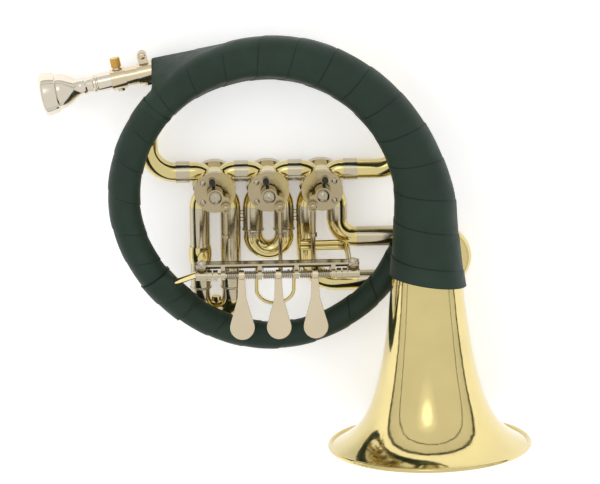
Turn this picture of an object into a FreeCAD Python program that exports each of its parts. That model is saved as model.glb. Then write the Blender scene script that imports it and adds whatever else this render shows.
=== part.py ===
import FreeCAD, Part
import math
import os

# A small valved hunting horn, lying on the backs of its three rotary valves and on its bell rim.
# Millimetres.  +X runs along the row of valves towards the bell, +Y away from the bell mouth,
# +Z up towards the finger levers.  The origin is the centre of the middle valve's back cap.

V = FreeCAD.Vector
X_AXIS = V(1, 0, 0)
Y_AXIS = V(0, 1, 0)
Z_AXIS = V(0, 0, 1)

# Tubing
line_tube_r = 6.2                 # outside radius of the plain tubing
tube_wall = 0.5
slide_clearance = 0.05            # radial play of a sliding leg in its outer leg
overrun = 1.0                     # how far a cutting shape runs past what it cuts
solder_gap = 0.05                 # play between pieces that are soldered into each other
stand_off = 0.3                   # space kept between pieces that move past each other

# Floor to the valve tubes: the back cap's floor, the rear bearing and half the rotor
cap_floor = 1.8
end_play = 0.2                    # play of a rotor along its axis
rear_bearing_height = 3.4
rotor_half = 6.9
tube_height = cap_floor + end_play + rear_bearing_height + end_play + rotor_half

# Steps and shares that have no length
small_angle = 0.01
small_share = 0.01
screw_rim_share = 0.45            # straight part of a domed screw head's height
tail_shares = (0.25, 0.5, 0.75)   # places of the tail's sections

# The coil: stations along the tube, by the angle from +X, running clockwise seen from above
coil_centre_x = 2.5
first_turn_angles = [161.5, 158.5, 150.0, 135.0, 115.0, 90.0, 60.0, 30.0, 0.0, -25.0, -45.0]
first_turn_radii = [80.4, 82.2, 84.6, 84.0, 80.9, 79.0, 78.2, 80.5, 85.0, 87.6, 89.8]
first_turn_rises = [0.0, 0.1, 4.0, 11.5, 17.0, 18.5, 18.0, 17.0, 16.0, 15.9, 16.0]
first_turn_heights = [tube_height + rise for rise in first_turn_rises]
main_turn_angles = [-45.0, -90.0, -135.0, -180.0, -225.0, -270.0, -315.0, -340.0, -360.0]
main_turn_radii = [89.8, 91.9, 89.7, 91.3, 90.3, 89.2, 87.7, 88.9, 92.1]
main_turn_rises = [16.0, 18.1, 21.3, 25.5, 29.5, 33.5, 37.5, 39.7, 41.5]
main_turn_heights = [tube_height + rise for rise in main_turn_rises]
main_turn_tube_radii = [line_tube_r, 6.9, 7.7, 8.2, 9.1, 11.1, 13.2, 14.8, 17.2]

# Bell
bell_rim_r = 61.7                 # to the middle of the rolled bead
bead_r = 1.5
bead_wire_r = 0.9
bell_length = 104.0               # from the rim to the joint under the leather
bell_flare_start = 8.5
bell_flare_power = 0.367
bell_taper_share = 0.02           # how much the whole flare narrows along its axis
bell_wall = 0.6
bell_tilt = 4.0                   # degrees the bell points down towards the floor
bell_lean = -0.7                  # degrees the bell leans in towards the coil
bell_rim_x = 96.75
bell_rim_y = -153.9
bell_points = 12

# Leather binding
leather_wall = 1.3
lap_step = 0.5                    # thickness that one turn of the strip stands over the next
wrap_angle = 13.0
tube_step_angle = 10.0            # angle between the sections that a tube is lofted through
lap_angle = 0.35
leather_ring_start = -26.0
leather_ring_end = -218.0
bundle_start = 142.0
bundle_split = 62.0
leather_edge_x = -70.5            # where the strip starts beside the mouthpiece receiver
leather_edge_y = 69.0
tail_wraps = 4
tail_back_share = -0.08           # how far back the tail's first turn is wound before its trim

# Leadpipe and mouthpiece, along the mouthpiece axis
mouth_x = -138.0
mouth_y = 61.6
mouth_angle = 11.56
lead_rise = 8.5                   # the mouthpiece axis over the valves' tubes
mouth_rim_s = [2.0, 0.0, 1.2, 3.0]
mouth_rim_radii = [8.3, 11.0, 13.2, 13.75]
mouth_band_s = [3.0, 6.5, 9.6]
mouth_band_radii = [13.75, 13.3, 12.6]
mouth_body_s = [10.4, 13.0, 15.9, 20.3, 23.6, 25.6]
mouth_body_radii = [11.05, 10.9, 9.85, 7.2, 5.3, 5.2]
mouth_neck_s = [25.6, 26.7, 27.6, 28.6, 32.4, 33.0, 34.2, 34.6, 35.2, 35.7]
mouth_neck_radii = [5.2, 5.55, 5.3, 4.65, 5.0, 5.75, 5.75, 5.1, 5.1, 5.6]
mouth_grip_end = 43.8
mouth_grip_r = 5.6
mouth_shank_r = 5.05
mouth_cup_s = [12.5, 10.8, 7.0, 2.0]
mouth_cup_radii = [1.9, 3.2, 6.6, 8.3]
throat_end = 15.0
backbore_r = 4.2
mouth_insert = 13.4               # how far the shank goes into the sleeve
sleeve_wall = 0.7
sleeve_shown = 16.7               # from the sleeve's mouth to the receiver's
sleeve_room = 4.0                 # for the sleeve to slide further in
collar_rise = 0.2                 # the collars over the receiver
collar_length = 9.2
collar_foot_r = 2.4
collar_foot_rise = 1.0
receiver_length = 31.3
receiver_wall = 0.55
thumb_screw_r = 3.1
thumb_screw_height = 5.6
thumb_boss_r = 2.6
thumb_boss_rise = 0.7
thumb_groove_r = 0.4
thumb_grooves = 14
sleeve_start = mouth_grip_end + end_play
mouth_length = sleeve_start + mouth_insert
sleeve_r = mouth_shank_r + slide_clearance + sleeve_wall
receiver_start = sleeve_start + sleeve_shown
receiver_end = receiver_start + receiver_length
receiver_r = sleeve_r + slide_clearance + receiver_wall
sleeve_length = receiver_end - sleeve_room - sleeve_start
collar_r = receiver_r + collar_rise
lead_height = tube_height + lead_rise
ear_reach = 11.2
ear_r = 2.9
ear_gap = 0.8
ear_thickness = 2.2
ear_screw_r = 2.1
ear_screw_rise = 1.4
ear_slot_angle = -5.0
ear_shank_r = 1.2
lead_bend_r = 18.0

# Valves
valve_pitch = 33.0
main_offset = 9.0                 # main line beside the valve axis
leg_offset = 9.5                  # slide legs beside the valve axis
knuckle_r = 9.0
casing_r = 12.0
casing_thread_r = 11.3
casing_rise = 13.0                # the casing's upper rim over the tubes
rotor_r = 9.5
rotor_clearance = 0.05
disc_r = 12.8                     # front disc and stop plate
disc_height = 1.8
back_cap_r = 13.8
cap_cover = 4.1                   # how far the back cap stands over its floor
rear_spindle_r = 2.0
front_spindle_r = 2.5
passage_r = 5.5
passage_offset = 6.2              # each passage is a scoop beside the rotor's axis
bearing_bottom = cap_floor + end_play
rear_bearing_top = bearing_bottom + rear_bearing_height
rotor_bottom = tube_height - rotor_half
rotor_top = tube_height + rotor_half
cap_height = cap_floor + cap_cover
casing_top = tube_height + casing_rise
front_disc_top = casing_top + disc_height

# Stop plate, corks and cranks, one above the other
stop_plate_height = 2.0
stop_plate_flat = 3.2
plate_hole_r = 3.6
cork_r = 1.9
cork_rise = 3.7                   # corks over the stop plate
cork_cup_r = 2.6
cork_cup_rise = 1.7
stop_radius = 7.2
finger_r = 1.5
finger_rest_angle = -15.0
crank_lift = 4.3                  # the crank's arms over the corks
crank_arm_height = 2.2
hub_rise = 1.5
hub_r = 5.0
spindle_recess = 0.9
crank_radius = 9.0
crank_rest_angle = -45.0
crank_arm_width = 4.2
eye_r = 3.1
link_pin_r = 1.5
rod_eye_half = 1.6
pin_head_r = 2.2
pin_head_height = 1.5
pin_slot_angle = 25.0
crank_screw_r = 3.85
crank_screw_rise = 3.2
crank_slot_angles = [105.0, -20.0, 74.0]
slot_width = 0.9
slot_depth = 1.0
plate_screw_r = 1.8
plate_screw_x = -7.4
plate_screw_y = 6.2
plate_screw_rise = 1.3
plate_screw_shank_r = 0.85
plate_slot_angle = 50.0
stop_plate_top = front_disc_top + stop_plate_height
cork_cup_top = stop_plate_top + cork_cup_rise
cork_top = stop_plate_top + cork_rise
finger_bottom = cork_cup_top + stand_off
crank_bottom = cork_top + crank_lift
crank_arm_top = crank_bottom + crank_arm_height
hub_top = crank_arm_top + hub_rise
spindle_top = hub_top - spindle_recess
rod_height = crank_arm_top + stand_off + rod_eye_half
lever_arm_y = crank_radius * math.sin(math.radians(-crank_rest_angle))

# Lever rail and levers
pivot_y = -42.1
lever_travel = 30.0               # degrees, a third of the rotor's quarter turn
lever_arm_length = lever_arm_y / math.sin(math.radians(lever_travel / 2))
pivot_z = rod_height + lever_arm_length * (1 + math.cos(math.radians(lever_travel / 2))) / 2
hinge_rod_r = 1.5
hinge_clearance = 0.05
barrel_r = 3.0
barrel_half = 1.6
paddle_length = 39.4
spoon_r = 7.5
stem_half = 2.0
neck_half = 2.7                   # the stem where it starts to open to the spoon
neck_length = 14.0
paddle_thickness = 1.6
paddle_edge_r = 0.5
arm_half = 0.9
arm_depth = 3.2
arm_pin_r = 0.85
rod_eye_bore = 1.75
rod_eye_wall = 1.3
rod_eye_width_half = 1.3
pin_end_r = 2.3
pin_end_length = 1.0
link_rod_r = 1.5
link_thin_r = 1.25
link_collar_r = 2.4
link_collar_length = 2.0
link_barrel_length = 17.0
lever_middle_x = 4.2
lever_pitch = 22.4
lever_x = [lever_middle_x + (i - 1) * lever_pitch for i in range(3)]
arm_shift = [-2.1, -0.7, 2.7]
rail_left = -46.0
rail_right = 53.7
flange_offset = 7.7               # from the pivot
flange_y = pivot_y + flange_offset
rail_wall = 1.2
rail_play = 0.5                   # under the lever barrels
rail_back_y = pivot_y + barrel_r + end_play
rail_bottom = pivot_z - barrel_r - rail_play - rail_wall
ear_rise = 0.5                    # the end ears stand over the base plate
flange_top = pivot_z + barrel_r
end_ear_length = 6.6
right_ear_length = 7.2
lug_x = [lever_middle_x + (k - 1.5) * lever_pitch for k in range(4)]
lug_half = 1.3
rail_screw_offset = 5.5           # from the pivot towards the flange
rail_screw_y = pivot_y + rail_screw_offset
rail_screw_inset = 3.7
rail_screw_head_r = 3.6
rail_screw_rise = 2.8
rail_screw_shank_r = 1.3
rail_slot_angles = [-42.0, 20.0]
nut_r = 3.35
nut_width = 2.9
nut_gap = 0.7

# Lever springs
spring_r = 2.35
spring_wire_r = 0.3
spring_turns = 6
spring_room = lever_pitch / 2 - lug_half - barrel_half - 3 * stand_off - 2 * spring_wire_r
spring_pitch = spring_room / spring_turns
spring_leg = 4.0
spring_tail = 5.0

# Thumb hook behind the rail
hook_wire_r = 1.1
hook_r = 11.4
hook_shift = -1.6
hook_x = lever_middle_x + hook_shift
hook_tilt = 22.0
hook_reach = 16.0

# Slides
leg_step = 0.4                    # the inner legs are this much slimmer than the tubing
inner_leg_r = line_tube_r - leg_step
outer_leg_r = inner_leg_r + slide_clearance + tube_wall
leg_wall = 0.45
leg_start_gap = 1.2               # from the casing to where the legs start
leg_top_y = -casing_r - leg_start_gap
bead_size = 0.65
slide_1_outer_length = 52.5
slide_1_shown = 7.0               # inner leg between the outer leg and the bow
slide_1_gap = 12.5                # from the outer leg's top to the inner leg
slide_2_outer_length = 15.7
slide_2_shown = 3.5
slide_2_gap = 3.2
slide_3_left_bend_r = 18.0
slide_3_left_y = -62.8
slide_3_right_y = -34.5
slide_3_outer_length = 35.7
slide_3_shown = 15.4
slide_3_elbow_end = 0.6           # straight end of the right elbow
slide_3_gap = 3.7
slide_3_ferrule_length = 9.6
slide_3_left_ferrule_length = 10.2
ferrule_wall = 0.5
ferrule_r = line_tube_r + solder_gap + ferrule_wall
ferrule_length = 8.7
left_ferrule_x = -52.6
right_ferrule_x = 50.9
collar_bulge_r = 7.4
brass_collar_drop = 25.3          # from the outer leg's top
brass_collar_length = 10.5
slide_1_outer_end = leg_top_y - slide_1_outer_length
slide_1_bow_y = slide_1_outer_end - slide_1_shown
slide_2_outer_end = leg_top_y - slide_2_outer_length
slide_2_bow_y = slide_2_outer_end - slide_2_shown
slide_3_ferrule = leg_top_y - slide_3_ferrule_length
slide_3_left_ferrule = leg_top_y - slide_3_left_ferrule_length
slide_3_right_bend_r = slide_3_ferrule - slide_3_right_y
slide_3_sleeve_x = valve_pitch + leg_offset + slide_3_right_bend_r + slide_3_elbow_end
slide_3_outer_end = slide_3_sleeve_x + slide_3_outer_length
slide_3_bow_x = slide_3_outer_end + slide_3_shown
brass_collar_top = leg_top_y - brass_collar_drop
brass_collar_end = brass_collar_top - brass_collar_length
knob_r = 3.0
knob_length = 5.0
knob_stem_r = 1.2
knob_neck = 2.0

# Braces
strut_r = 2.0
strut_angle = -139.7              # where it meets the coil
strut_head_x = rail_left + strut_r
bracket_r = 1.6
bracket_offset = 4.7              # from the pivot towards the flange
bracket_y = pivot_y + bracket_offset
bracket_inset = 5.9
bracket_x = rail_right - bracket_inset
bracket_lap = 4.0                 # the bracket's rods over the third slide's left leg
bracket_left_x = valve_pitch - leg_offset - bracket_lap
bracket_bend_r = 6.0
brace_r = 1.4
brace_drop = 4.3                  # from the outer legs' tops
brace_y = leg_top_y - brace_drop
brace_spacing = 4.4


def disc_solid(radius, bottom, top, x=0.0, y=0.0):
    return Part.makeCylinder(radius, top - bottom, V(x, y, bottom), Z_AXIS)


def rod(start, end, radius):
    return Part.makeCylinder(radius, (end - start).Length, start, end - start)


def pipe(start, end, outer, inner):
    along = (end - start).normalize() * overrun
    return rod(start, end, outer).cut(rod(start - along, end + along, inner))


def box(x0, x1, y0, y1, z0, z1):
    corner = V(min(x0, x1), min(y0, y1), min(z0, z1))
    return Part.makeBox(abs(x1 - x0), abs(y1 - y0), abs(z1 - z0), corner)


def fused(pieces):
    solid = pieces[0]
    for piece in pieces[1:]:
        solid = solid.fuse(piece)
    return solid.removeSplitter()


def bent_wire(points, bend_radii):
    """Straight runs joined by tangent arcs, one radius for each inner point."""
    edges = []
    last = points[0]
    for before, corner, after, radius in zip(points, points[1:], points[2:], bend_radii):
        into = (corner - before).normalize()
        out = (after - corner).normalize()
        reach = radius * math.tan(into.getAngle(out) / 2)
        start = corner - into * reach
        end = corner + out * reach
        inward = (out - into).normalize()
        centre = corner + inward * math.hypot(radius, reach)
        middle = centre - inward * radius
        if (start - last).Length > solder_gap:
            edges.append(Part.LineSegment(last, start).toShape())
        edges.append(Part.Arc(start, middle, end).toShape())
        last = end
    if (points[-1] - last).Length > solder_gap:
        edges.append(Part.LineSegment(last, points[-1]).toShape())
    return Part.Wire(edges)


def swept(wire, radius):
    edge = wire.OrderedEdges[0]
    start = edge.valueAt(edge.FirstParameter)
    heading = edge.tangentAt(edge.FirstParameter)
    circle = Part.Wire(Part.makeCircle(radius, start, heading))
    return wire.makePipeShell([circle], True, False)


def swept_pipe(wire, outer, inner):
    return swept(wire, outer).cut(swept(wire, inner))


def smooth(angles, values, angle):
    """A smooth curve through values at falling angles."""
    stations = [(-a, value) for a, value in zip(angles, values)]
    at = -angle
    last = len(stations) - 1
    i = 0
    while i < last - 1 and at > stations[i + 1][0]:
        i += 1

    def slope(k):
        low = max(k - 1, 0)
        high = min(k + 1, last)
        return (stations[high][1] - stations[low][1]) / (stations[high][0] - stations[low][0])

    width = stations[i + 1][0] - stations[i][0]
    t = (at - stations[i][0]) / width
    h00 = 2 * t ** 3 - 3 * t ** 2 + 1
    h10 = t ** 3 - 2 * t ** 2 + t
    h01 = 3 * t ** 2 - 2 * t ** 3
    h11 = t ** 3 - t ** 2
    value = h00 * stations[i][1] + h01 * stations[i + 1][1]
    return value + width * (h10 * slope(i) + h11 * slope(i + 1))


def coil_point(angle, radius, height):
    a = math.radians(angle)
    return V(coil_centre_x + radius * math.cos(a), radius * math.sin(a), height)


def first_turn_point(angle):
    return coil_point(angle, smooth(first_turn_angles, first_turn_radii, angle),
                      smooth(first_turn_angles, first_turn_heights, angle))


def main_turn_point(angle):
    return coil_point(angle, smooth(main_turn_angles, main_turn_radii, angle),
                      smooth(main_turn_angles, main_turn_heights, angle))


def heading(point_at, angle):
    """Direction of travel along a coil path, where the angle falls."""
    return (point_at(angle - small_angle) - point_at(angle + small_angle)).normalize()


def circle_wire(centre, direction, radius):
    """A circle of two arcs whose seam starts on the outer side of the coil."""
    side = direction.cross(Z_AXIS).normalize()
    up = side.cross(direction).normalize()
    east = centre - side * radius
    west = centre + side * radius
    first = Part.Arc(east, centre + up * radius, west).toShape()
    second = Part.Arc(west, centre - up * radius, east).toShape()
    return Part.Wire([first, second])


def bell_radius(s):
    flare = (bell_flare_start / (s + bell_flare_start)) ** bell_flare_power
    return bell_rim_r * flare - bell_taper_share * s


def bell_slope(s):
    flare = bell_radius(s) + bell_taper_share * s
    return -bell_flare_power * flare / (s + bell_flare_start) - bell_taper_share


bell_rim_z = bell_rim_r * math.cos(math.radians(bell_tilt)) + bead_r
bell_axis = V(math.sin(math.radians(bell_lean)), math.cos(math.radians(bell_tilt)),
              -math.sin(math.radians(bell_tilt))).normalize()
bell_rim_centre = V(bell_rim_x, bell_rim_y, bell_rim_z)
join_angle = main_turn_angles[0]
bell_end_angle = main_turn_angles[-1]
tail_start = main_turn_point(bell_end_angle)
tail_end = bell_rim_centre + bell_axis * bell_length
tail_span = (tail_end - tail_start).Length


def tail_point(t):
    """The short stretch from the coil to the bell, t from 0 to 1."""
    h00 = 2 * t ** 3 - 3 * t ** 2 + 1
    h10 = t ** 3 - 2 * t ** 2 + t
    h01 = 3 * t ** 2 - 2 * t ** 3
    h11 = t ** 3 - t ** 2
    start_heading = heading(main_turn_point, bell_end_angle)
    return (tail_start * h00 + start_heading * (h10 * tail_span)
            + tail_end * h01 - bell_axis * (h11 * tail_span))


def tail_heading(t):
    return (tail_point(t + small_share) - tail_point(t - small_share)).normalize()


def tail_radius(t):
    start_r = main_turn_tube_radii[-1]
    end_r = bell_radius(bell_length)
    return start_r + (end_r - start_r) * (t + t * t) / 2


def stepped_angles(start, end, step):
    count = max(2, int(round(abs(end - start) / step)))
    return [start + (end - start) * i / count for i in range(count + 1)]


def first_turn_solid(radius):
    sections = []
    for angle in stepped_angles(first_turn_angles[0], join_angle, tube_step_angle):
        direction = heading(first_turn_point, angle)
        if angle == first_turn_angles[0]:
            direction = Y_AXIS
        sections.append(circle_wire(first_turn_point(angle), direction, radius))
    return Part.makeLoft(sections, True, False)


def first_turn_tube():
    """The thin first turn, from the gooseneck to where the tube starts to widen."""
    return first_turn_solid(line_tube_r).cut(first_turn_solid(line_tube_r - tube_wall))


def main_turn_solid(offset):
    sections = []
    for angle in stepped_angles(join_angle, bell_end_angle, tube_step_angle):
        point_at = first_turn_point if angle == join_angle else main_turn_point
        radius = coil_tube_r(angle) + offset
        sections.append(circle_wire(main_turn_point(angle), heading(point_at, angle), radius))
    for t in tail_shares:
        sections.append(circle_wire(tail_point(t), tail_heading(t), tail_radius(t) + offset))
    sections.append(circle_wire(tail_end, -bell_axis, bell_radius(bell_length) + offset))
    return Part.makeLoft(sections, True, False)


def ring_tube():
    """The widening turn, from the lower right round to the joint with the bell."""
    return main_turn_solid(0.0).cut(main_turn_solid(-tube_wall))


def bell_frame(shape):
    """Turns a shape made along +Z from the origin onto the bell's axis at its rim."""
    turn = FreeCAD.Rotation(Z_AXIS, bell_axis)
    shape.Placement = FreeCAD.Placement(bell_rim_centre, turn)
    return shape


def bell():
    """The spun flare, which starts inside the wall of its hollow rolled bead."""
    core_r = bead_wire_r + solder_gap
    start = (bead_r + core_r) / 2 / math.hypot(1, bell_slope(0))
    distances = [start + (bell_length - start) * (i / bell_points) ** 2
                 for i in range(bell_points + 1)]
    outside = [V(bell_radius(s), 0, s) for s in distances]
    inside = []
    for s in distances:
        rise = bell_slope(s)
        size = math.hypot(1, rise)
        inside.append(V(bell_radius(s) - bell_wall / size, 0, s + bell_wall * rise / size))
    inside[-1] = V(bell_radius(bell_length) - bell_wall, 0, bell_length)
    outer_curve = Part.BSplineCurve()
    outer_curve.interpolate(outside)
    inner_curve = Part.BSplineCurve()
    inner_curve.interpolate(inside)
    edges = [outer_curve.toShape(), Part.LineSegment(outside[-1], inside[-1]).toShape(),
             inner_curve.toShape(), Part.LineSegment(inside[0], outside[0]).toShape()]
    face = Part.Face(Part.Wire(Part.__sortEdges__(edges)))
    sheet = face.revolve(V(0, 0, 0), Z_AXIS, 360)
    bead = Part.makeTorus(bell_rim_r, bead_r).cut(Part.makeTorus(bell_rim_r, core_r))
    return bell_frame(sheet.fuse(bead))


def bell_rim_wire():
    return bell_frame(Part.makeTorus(bell_rim_r, bead_wire_r))


def lap_sections(angles, section):
    """Sections for a strip wound in steps: each turn starts thick and ends thin."""
    wires = []
    for start, end in zip(angles, angles[1:]):
        direction = 1 if end > start else -1
        wires.append(section(start + direction * lap_angle, lap_step))
        wires.append(section(end, 0.0))
    return wires


def sleeve_wire(angle, radius):
    """A round section of the binding in the coil's radial plane."""
    if angle > join_angle:
        centre = first_turn_point(angle)
        direction = heading(first_turn_point, angle)
    else:
        centre = main_turn_point(angle)
        direction = heading(main_turn_point, angle)
    return circle_wire(centre, direction, radius)


def coil_tube_r(angle):
    if angle > join_angle:
        return line_tube_r
    return smooth(main_turn_angles, main_turn_tube_radii, angle)


def bored(leather):
    """Takes both turns of tubing and the joint with the bell out of a piece of the binding."""
    past = bell_axis * overrun
    end_r = bell_radius(bell_length) + 2 * solder_gap
    for core in (main_turn_solid(solder_gap), first_turn_solid(line_tube_r + solder_gap),
                 rod(tail_end - past, tail_end + past, end_r)):
        leather = leather.cut(core)
    return leather


def leather_ring():
    """The binding round the single tube: behind the bell, along the bottom and up the left."""
    angles = stepped_angles(leather_ring_start, leather_ring_end, wrap_angle)

    def outer(angle, extra):
        return sleeve_wire(angle, coil_tube_r(angle) + leather_wall + extra)

    return bored(Part.makeLoft(lap_sections(angles, outer), True, True))


def hull_outline(circles):
    """Tangent lines and arcs round a set of circles given in counter-clockwise order."""
    count = len(circles)
    normals = []
    for i in range(count):
        u0, v0, r0 = circles[i]
        u1, v1, r1 = circles[(i + 1) % count]
        du = u1 - u0
        dv = v1 - v0
        apart = math.hypot(du, dv)
        lean = (r0 - r1) / apart
        side = math.sqrt(1 - lean * lean)
        normals.append(math.atan2(dv * lean - du * side, du * lean + dv * side))
    outline = []
    for i in range(count):
        u, v, r = circles[i]
        start = normals[i - 1]
        end = normals[i]
        while end < start:
            end += 2 * math.pi
        outline.append([(u + r * math.cos(start + (end - start) * k / 4),
                         v + r * math.sin(start + (end - start) * k / 4)) for k in range(5)])
    return outline


def hull_wire(angle, circles):
    """The outline of a bundle of tubes, two arcs and a line for each tube."""
    a = math.radians(angle)

    def place(point):
        return V(coil_centre_x + point[0] * math.cos(a), point[0] * math.sin(a), point[1])

    edges = []
    outline = hull_outline(circles)
    for i, arc in enumerate(outline):
        p = [place(point) for point in arc]
        edges.append(Part.Arc(p[0], p[1], p[2]).toShape())
        edges.append(Part.Arc(p[2], p[3], p[4]).toShape())
        edges.append(Part.LineSegment(p[4], place(outline[(i + 1) % len(outline)][0])).toShape())
    return Part.Wire(edges)


def lead_radius():
    """How far the mouthpiece axis passes from the coil's centre."""
    a = math.radians(mouth_angle)
    return abs((mouth_x - coil_centre_x) * math.sin(a) - mouth_y * math.cos(a))


lead_coil_r = lead_radius()
lead_turn_angle = math.degrees(math.asin((main_offset + lead_bend_r)
                                         / (lead_coil_r - lead_bend_r)))
lead_tangent_angle = 90.0 + mouth_angle


def lead_height_at(angle):
    """Level along the mouthpiece axis, then sinking to the valves' level."""
    sink_start = lead_tangent_angle - mouth_angle
    t = min(1.0, max(0.0, (sink_start - angle) / (sink_start - lead_turn_angle)))
    return lead_height + (tube_height - lead_height) * (3 * t * t - 2 * t ** 3)


def lead_distance(angle):
    """Distance of the leadpipe from the coil's centre, in the coil's radial plane."""
    if angle > lead_tangent_angle:
        return lead_coil_r / math.cos(math.radians(angle - lead_tangent_angle))
    return lead_coil_r


def skewed(radius, point_at, angle):
    """Half the length of a slanting tube's cut through the coil's radial plane."""
    a = math.radians(angle)
    return radius / abs(heading(point_at, angle).dot(V(math.sin(a), -math.cos(a), 0)))


def bundle_circles(angle, extra, with_lead):
    """Widening turn, thin turn and leadpipe, cut by the coil's radial plane."""
    turn = angle - 360.0
    main = (smooth(main_turn_angles, main_turn_radii, turn),
            smooth(main_turn_angles, main_turn_heights, turn),
            skewed(coil_tube_r(turn), main_turn_point, turn) + extra)
    thin = (smooth(first_turn_angles, first_turn_radii, angle),
            smooth(first_turn_angles, first_turn_heights, angle),
            skewed(line_tube_r, first_turn_point, angle) + extra)
    if not with_lead:
        return [main, thin]
    skew = 1 / math.cos(math.radians(max(0.0, angle - lead_tangent_angle)))
    cover = receiver_r + solder_gap + stand_off
    lead = (lead_distance(angle), lead_height_at(angle), cover * skew + extra)
    return [main, thin, lead]


def bundle_loft(start, end, with_lead):
    angles = stepped_angles(start, end, wrap_angle)

    def outer(angle, extra):
        return hull_wire(angle, bundle_circles(angle, leather_wall + extra, with_lead))

    solid = Part.makeLoft(lap_sections(angles, outer), True, True)
    past = (angles[0] - angles[1]) * lap_angle
    inner = [hull_wire(angle, bundle_circles(angle, -stand_off, with_lead))
             for angle in stepped_angles(angles[0] + past, angles[-1] - past, wrap_angle / 2)]
    return bored(solid.cut(Part.makeLoft(inner, True, False)))


def leather_left_bundle():
    """The binding over three tubes at once, cut straight beside the receiver."""
    solid = bundle_loft(bundle_start, bundle_split + lap_angle, True)
    reach = mouth_length
    cutter = box(leather_edge_x - reach, leather_edge_x, leather_edge_y,
                 leather_edge_y + reach, -reach, reach)
    return solid.cut(cutter)


def leather_right_bundle():
    """The binding over the widening turn and the thin turn, down to the right side."""
    return bundle_loft(bundle_split - lap_angle, lap_angle, False)


def leather_tail():
    """The last turns of the strip, trimmed beside the bundle, from the coil onto the bell."""
    outer = []
    for i in range(tail_wraps):
        start = (i + lap_angle / wrap_angle) / tail_wraps if i else tail_back_share
        end = (i + 1) / tail_wraps
        for t, extra in ((start, lap_step), (end, 0.0)):
            radius = tail_radius(t) + leather_wall + extra
            outer.append(circle_wire(tail_point(t), tail_heading(t), radius))
    reach = bell_length
    beside = box(tail_start.x - reach, tail_start.x + reach, -stand_off, reach, -reach,
                 tail_start.z + reach)
    return bored(Part.makeLoft(outer, True, True)).cut(beside)


nodes = {}

mouth_dir = V(math.cos(math.radians(mouth_angle)), math.sin(math.radians(mouth_angle)), 0)
mouth_side = Z_AXIS.cross(mouth_dir)
mouth_face = V(mouth_x, mouth_y, lead_height)


def mouth_point(s, side=0.0, up=0.0):
    return mouth_face + mouth_dir * s + mouth_side * side + Z_AXIS * up


def lead_path_point(angle):
    return coil_point(angle, lead_coil_r, lead_height_at(angle))


def leadpipe():
    """From the receiver, under the coil's top, down to the third valve's level and back in."""
    straight_end = lead_path_point(lead_tangent_angle)
    bores = []
    for radius in (line_tube_r, line_tube_r - tube_wall):
        straight = rod(mouth_point(receiver_end), straight_end, radius)
        sections = []
        for angle in stepped_angles(lead_tangent_angle, lead_turn_angle, tube_step_angle):
            direction = heading(lead_path_point, angle)
            sections.append(circle_wire(lead_path_point(angle), direction, radius))
        curve = Part.makeLoft(sections, True, False)
        start = lead_path_point(lead_turn_angle)
        turn = math.radians(lead_turn_angle)
        reach = lead_coil_r - lead_bend_r
        centre = V(coil_centre_x + reach * math.cos(turn), reach * math.sin(turn), tube_height)
        low = centre - Y_AXIS * lead_bend_r
        half = turn / 2 - math.pi / 4
        middle = centre + V(math.cos(half), math.sin(half), 0) * lead_bend_r
        bend = Part.Wire([Part.Arc(start, middle, low).toShape(),
                          Part.LineSegment(low, V(right_ferrule_x, low.y, low.z)).toShape()])
        bores.append([straight, curve, swept(bend, radius)])
    solid = bores[0][0].fuse(bores[0][1]).fuse(bores[0][2])
    for bore in bores[1]:
        solid = solid.cut(bore)
    return solid


def gooseneck():
    """From the first valve's left ferrule up to the thin first turn."""
    end = first_turn_point(first_turn_angles[0])
    points = [V(left_ferrule_x, main_offset, end.z), V(end.x, main_offset, end.z), end]
    wire = bent_wire(points, [end.y - main_offset])
    return swept_pipe(wire, line_tube_r, line_tube_r - tube_wall)


def profile_curve(places, radii):
    curve = Part.BSplineCurve()
    curve.interpolate([V(r, 0, s) for s, r in zip(places, radii)])
    return curve.toShape()


def profile_lines(places, radii):
    points = [V(r, 0, s) for s, r in zip(places, radii)]
    return [Part.LineSegment(a, b).toShape() for a, b in zip(points, points[1:])]


def mouthpiece():
    """Turned cup mouthpiece, made along +Z and laid on the mouthpiece axis."""
    edges = [profile_curve(mouth_rim_s, mouth_rim_radii),
             profile_curve(mouth_band_s, mouth_band_radii)]
    edges += profile_lines([mouth_band_s[-1], mouth_body_s[0]],
                           [mouth_band_radii[-1], mouth_body_radii[0]])
    edges.append(profile_curve(mouth_body_s, mouth_body_radii))
    edges += profile_lines(mouth_neck_s, mouth_neck_radii)
    edges += profile_lines([mouth_neck_s[-1], mouth_grip_end, mouth_grip_end, mouth_length,
                            mouth_length, throat_end, mouth_cup_s[0]],
                           [mouth_neck_radii[-1], mouth_grip_r, mouth_shank_r, mouth_shank_r,
                            backbore_r, mouth_cup_radii[0], mouth_cup_radii[0]])
    edges.append(profile_curve(mouth_cup_s, mouth_cup_radii))
    solid = Part.Face(Part.Wire(edges)).revolve(V(0, 0, 0), Z_AXIS, 360)
    solid.Placement = FreeCAD.Placement(mouth_face, FreeCAD.Rotation(Z_AXIS, mouth_dir))
    return solid


def collar_middle(start):
    return start + collar_length / 2


def clamp_collar(start, inner):
    """A band round the tube with a small foot below."""
    band = rod(mouth_point(start), mouth_point(start + collar_length), collar_r)
    middle = collar_middle(start)
    foot = rod(mouth_point(middle), mouth_point(middle, -collar_r - collar_foot_rise), collar_foot_r)
    bore = rod(mouth_point(start - overrun), mouth_point(start + collar_length + overrun), inner)
    return band.fuse(foot).cut(bore)


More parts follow.
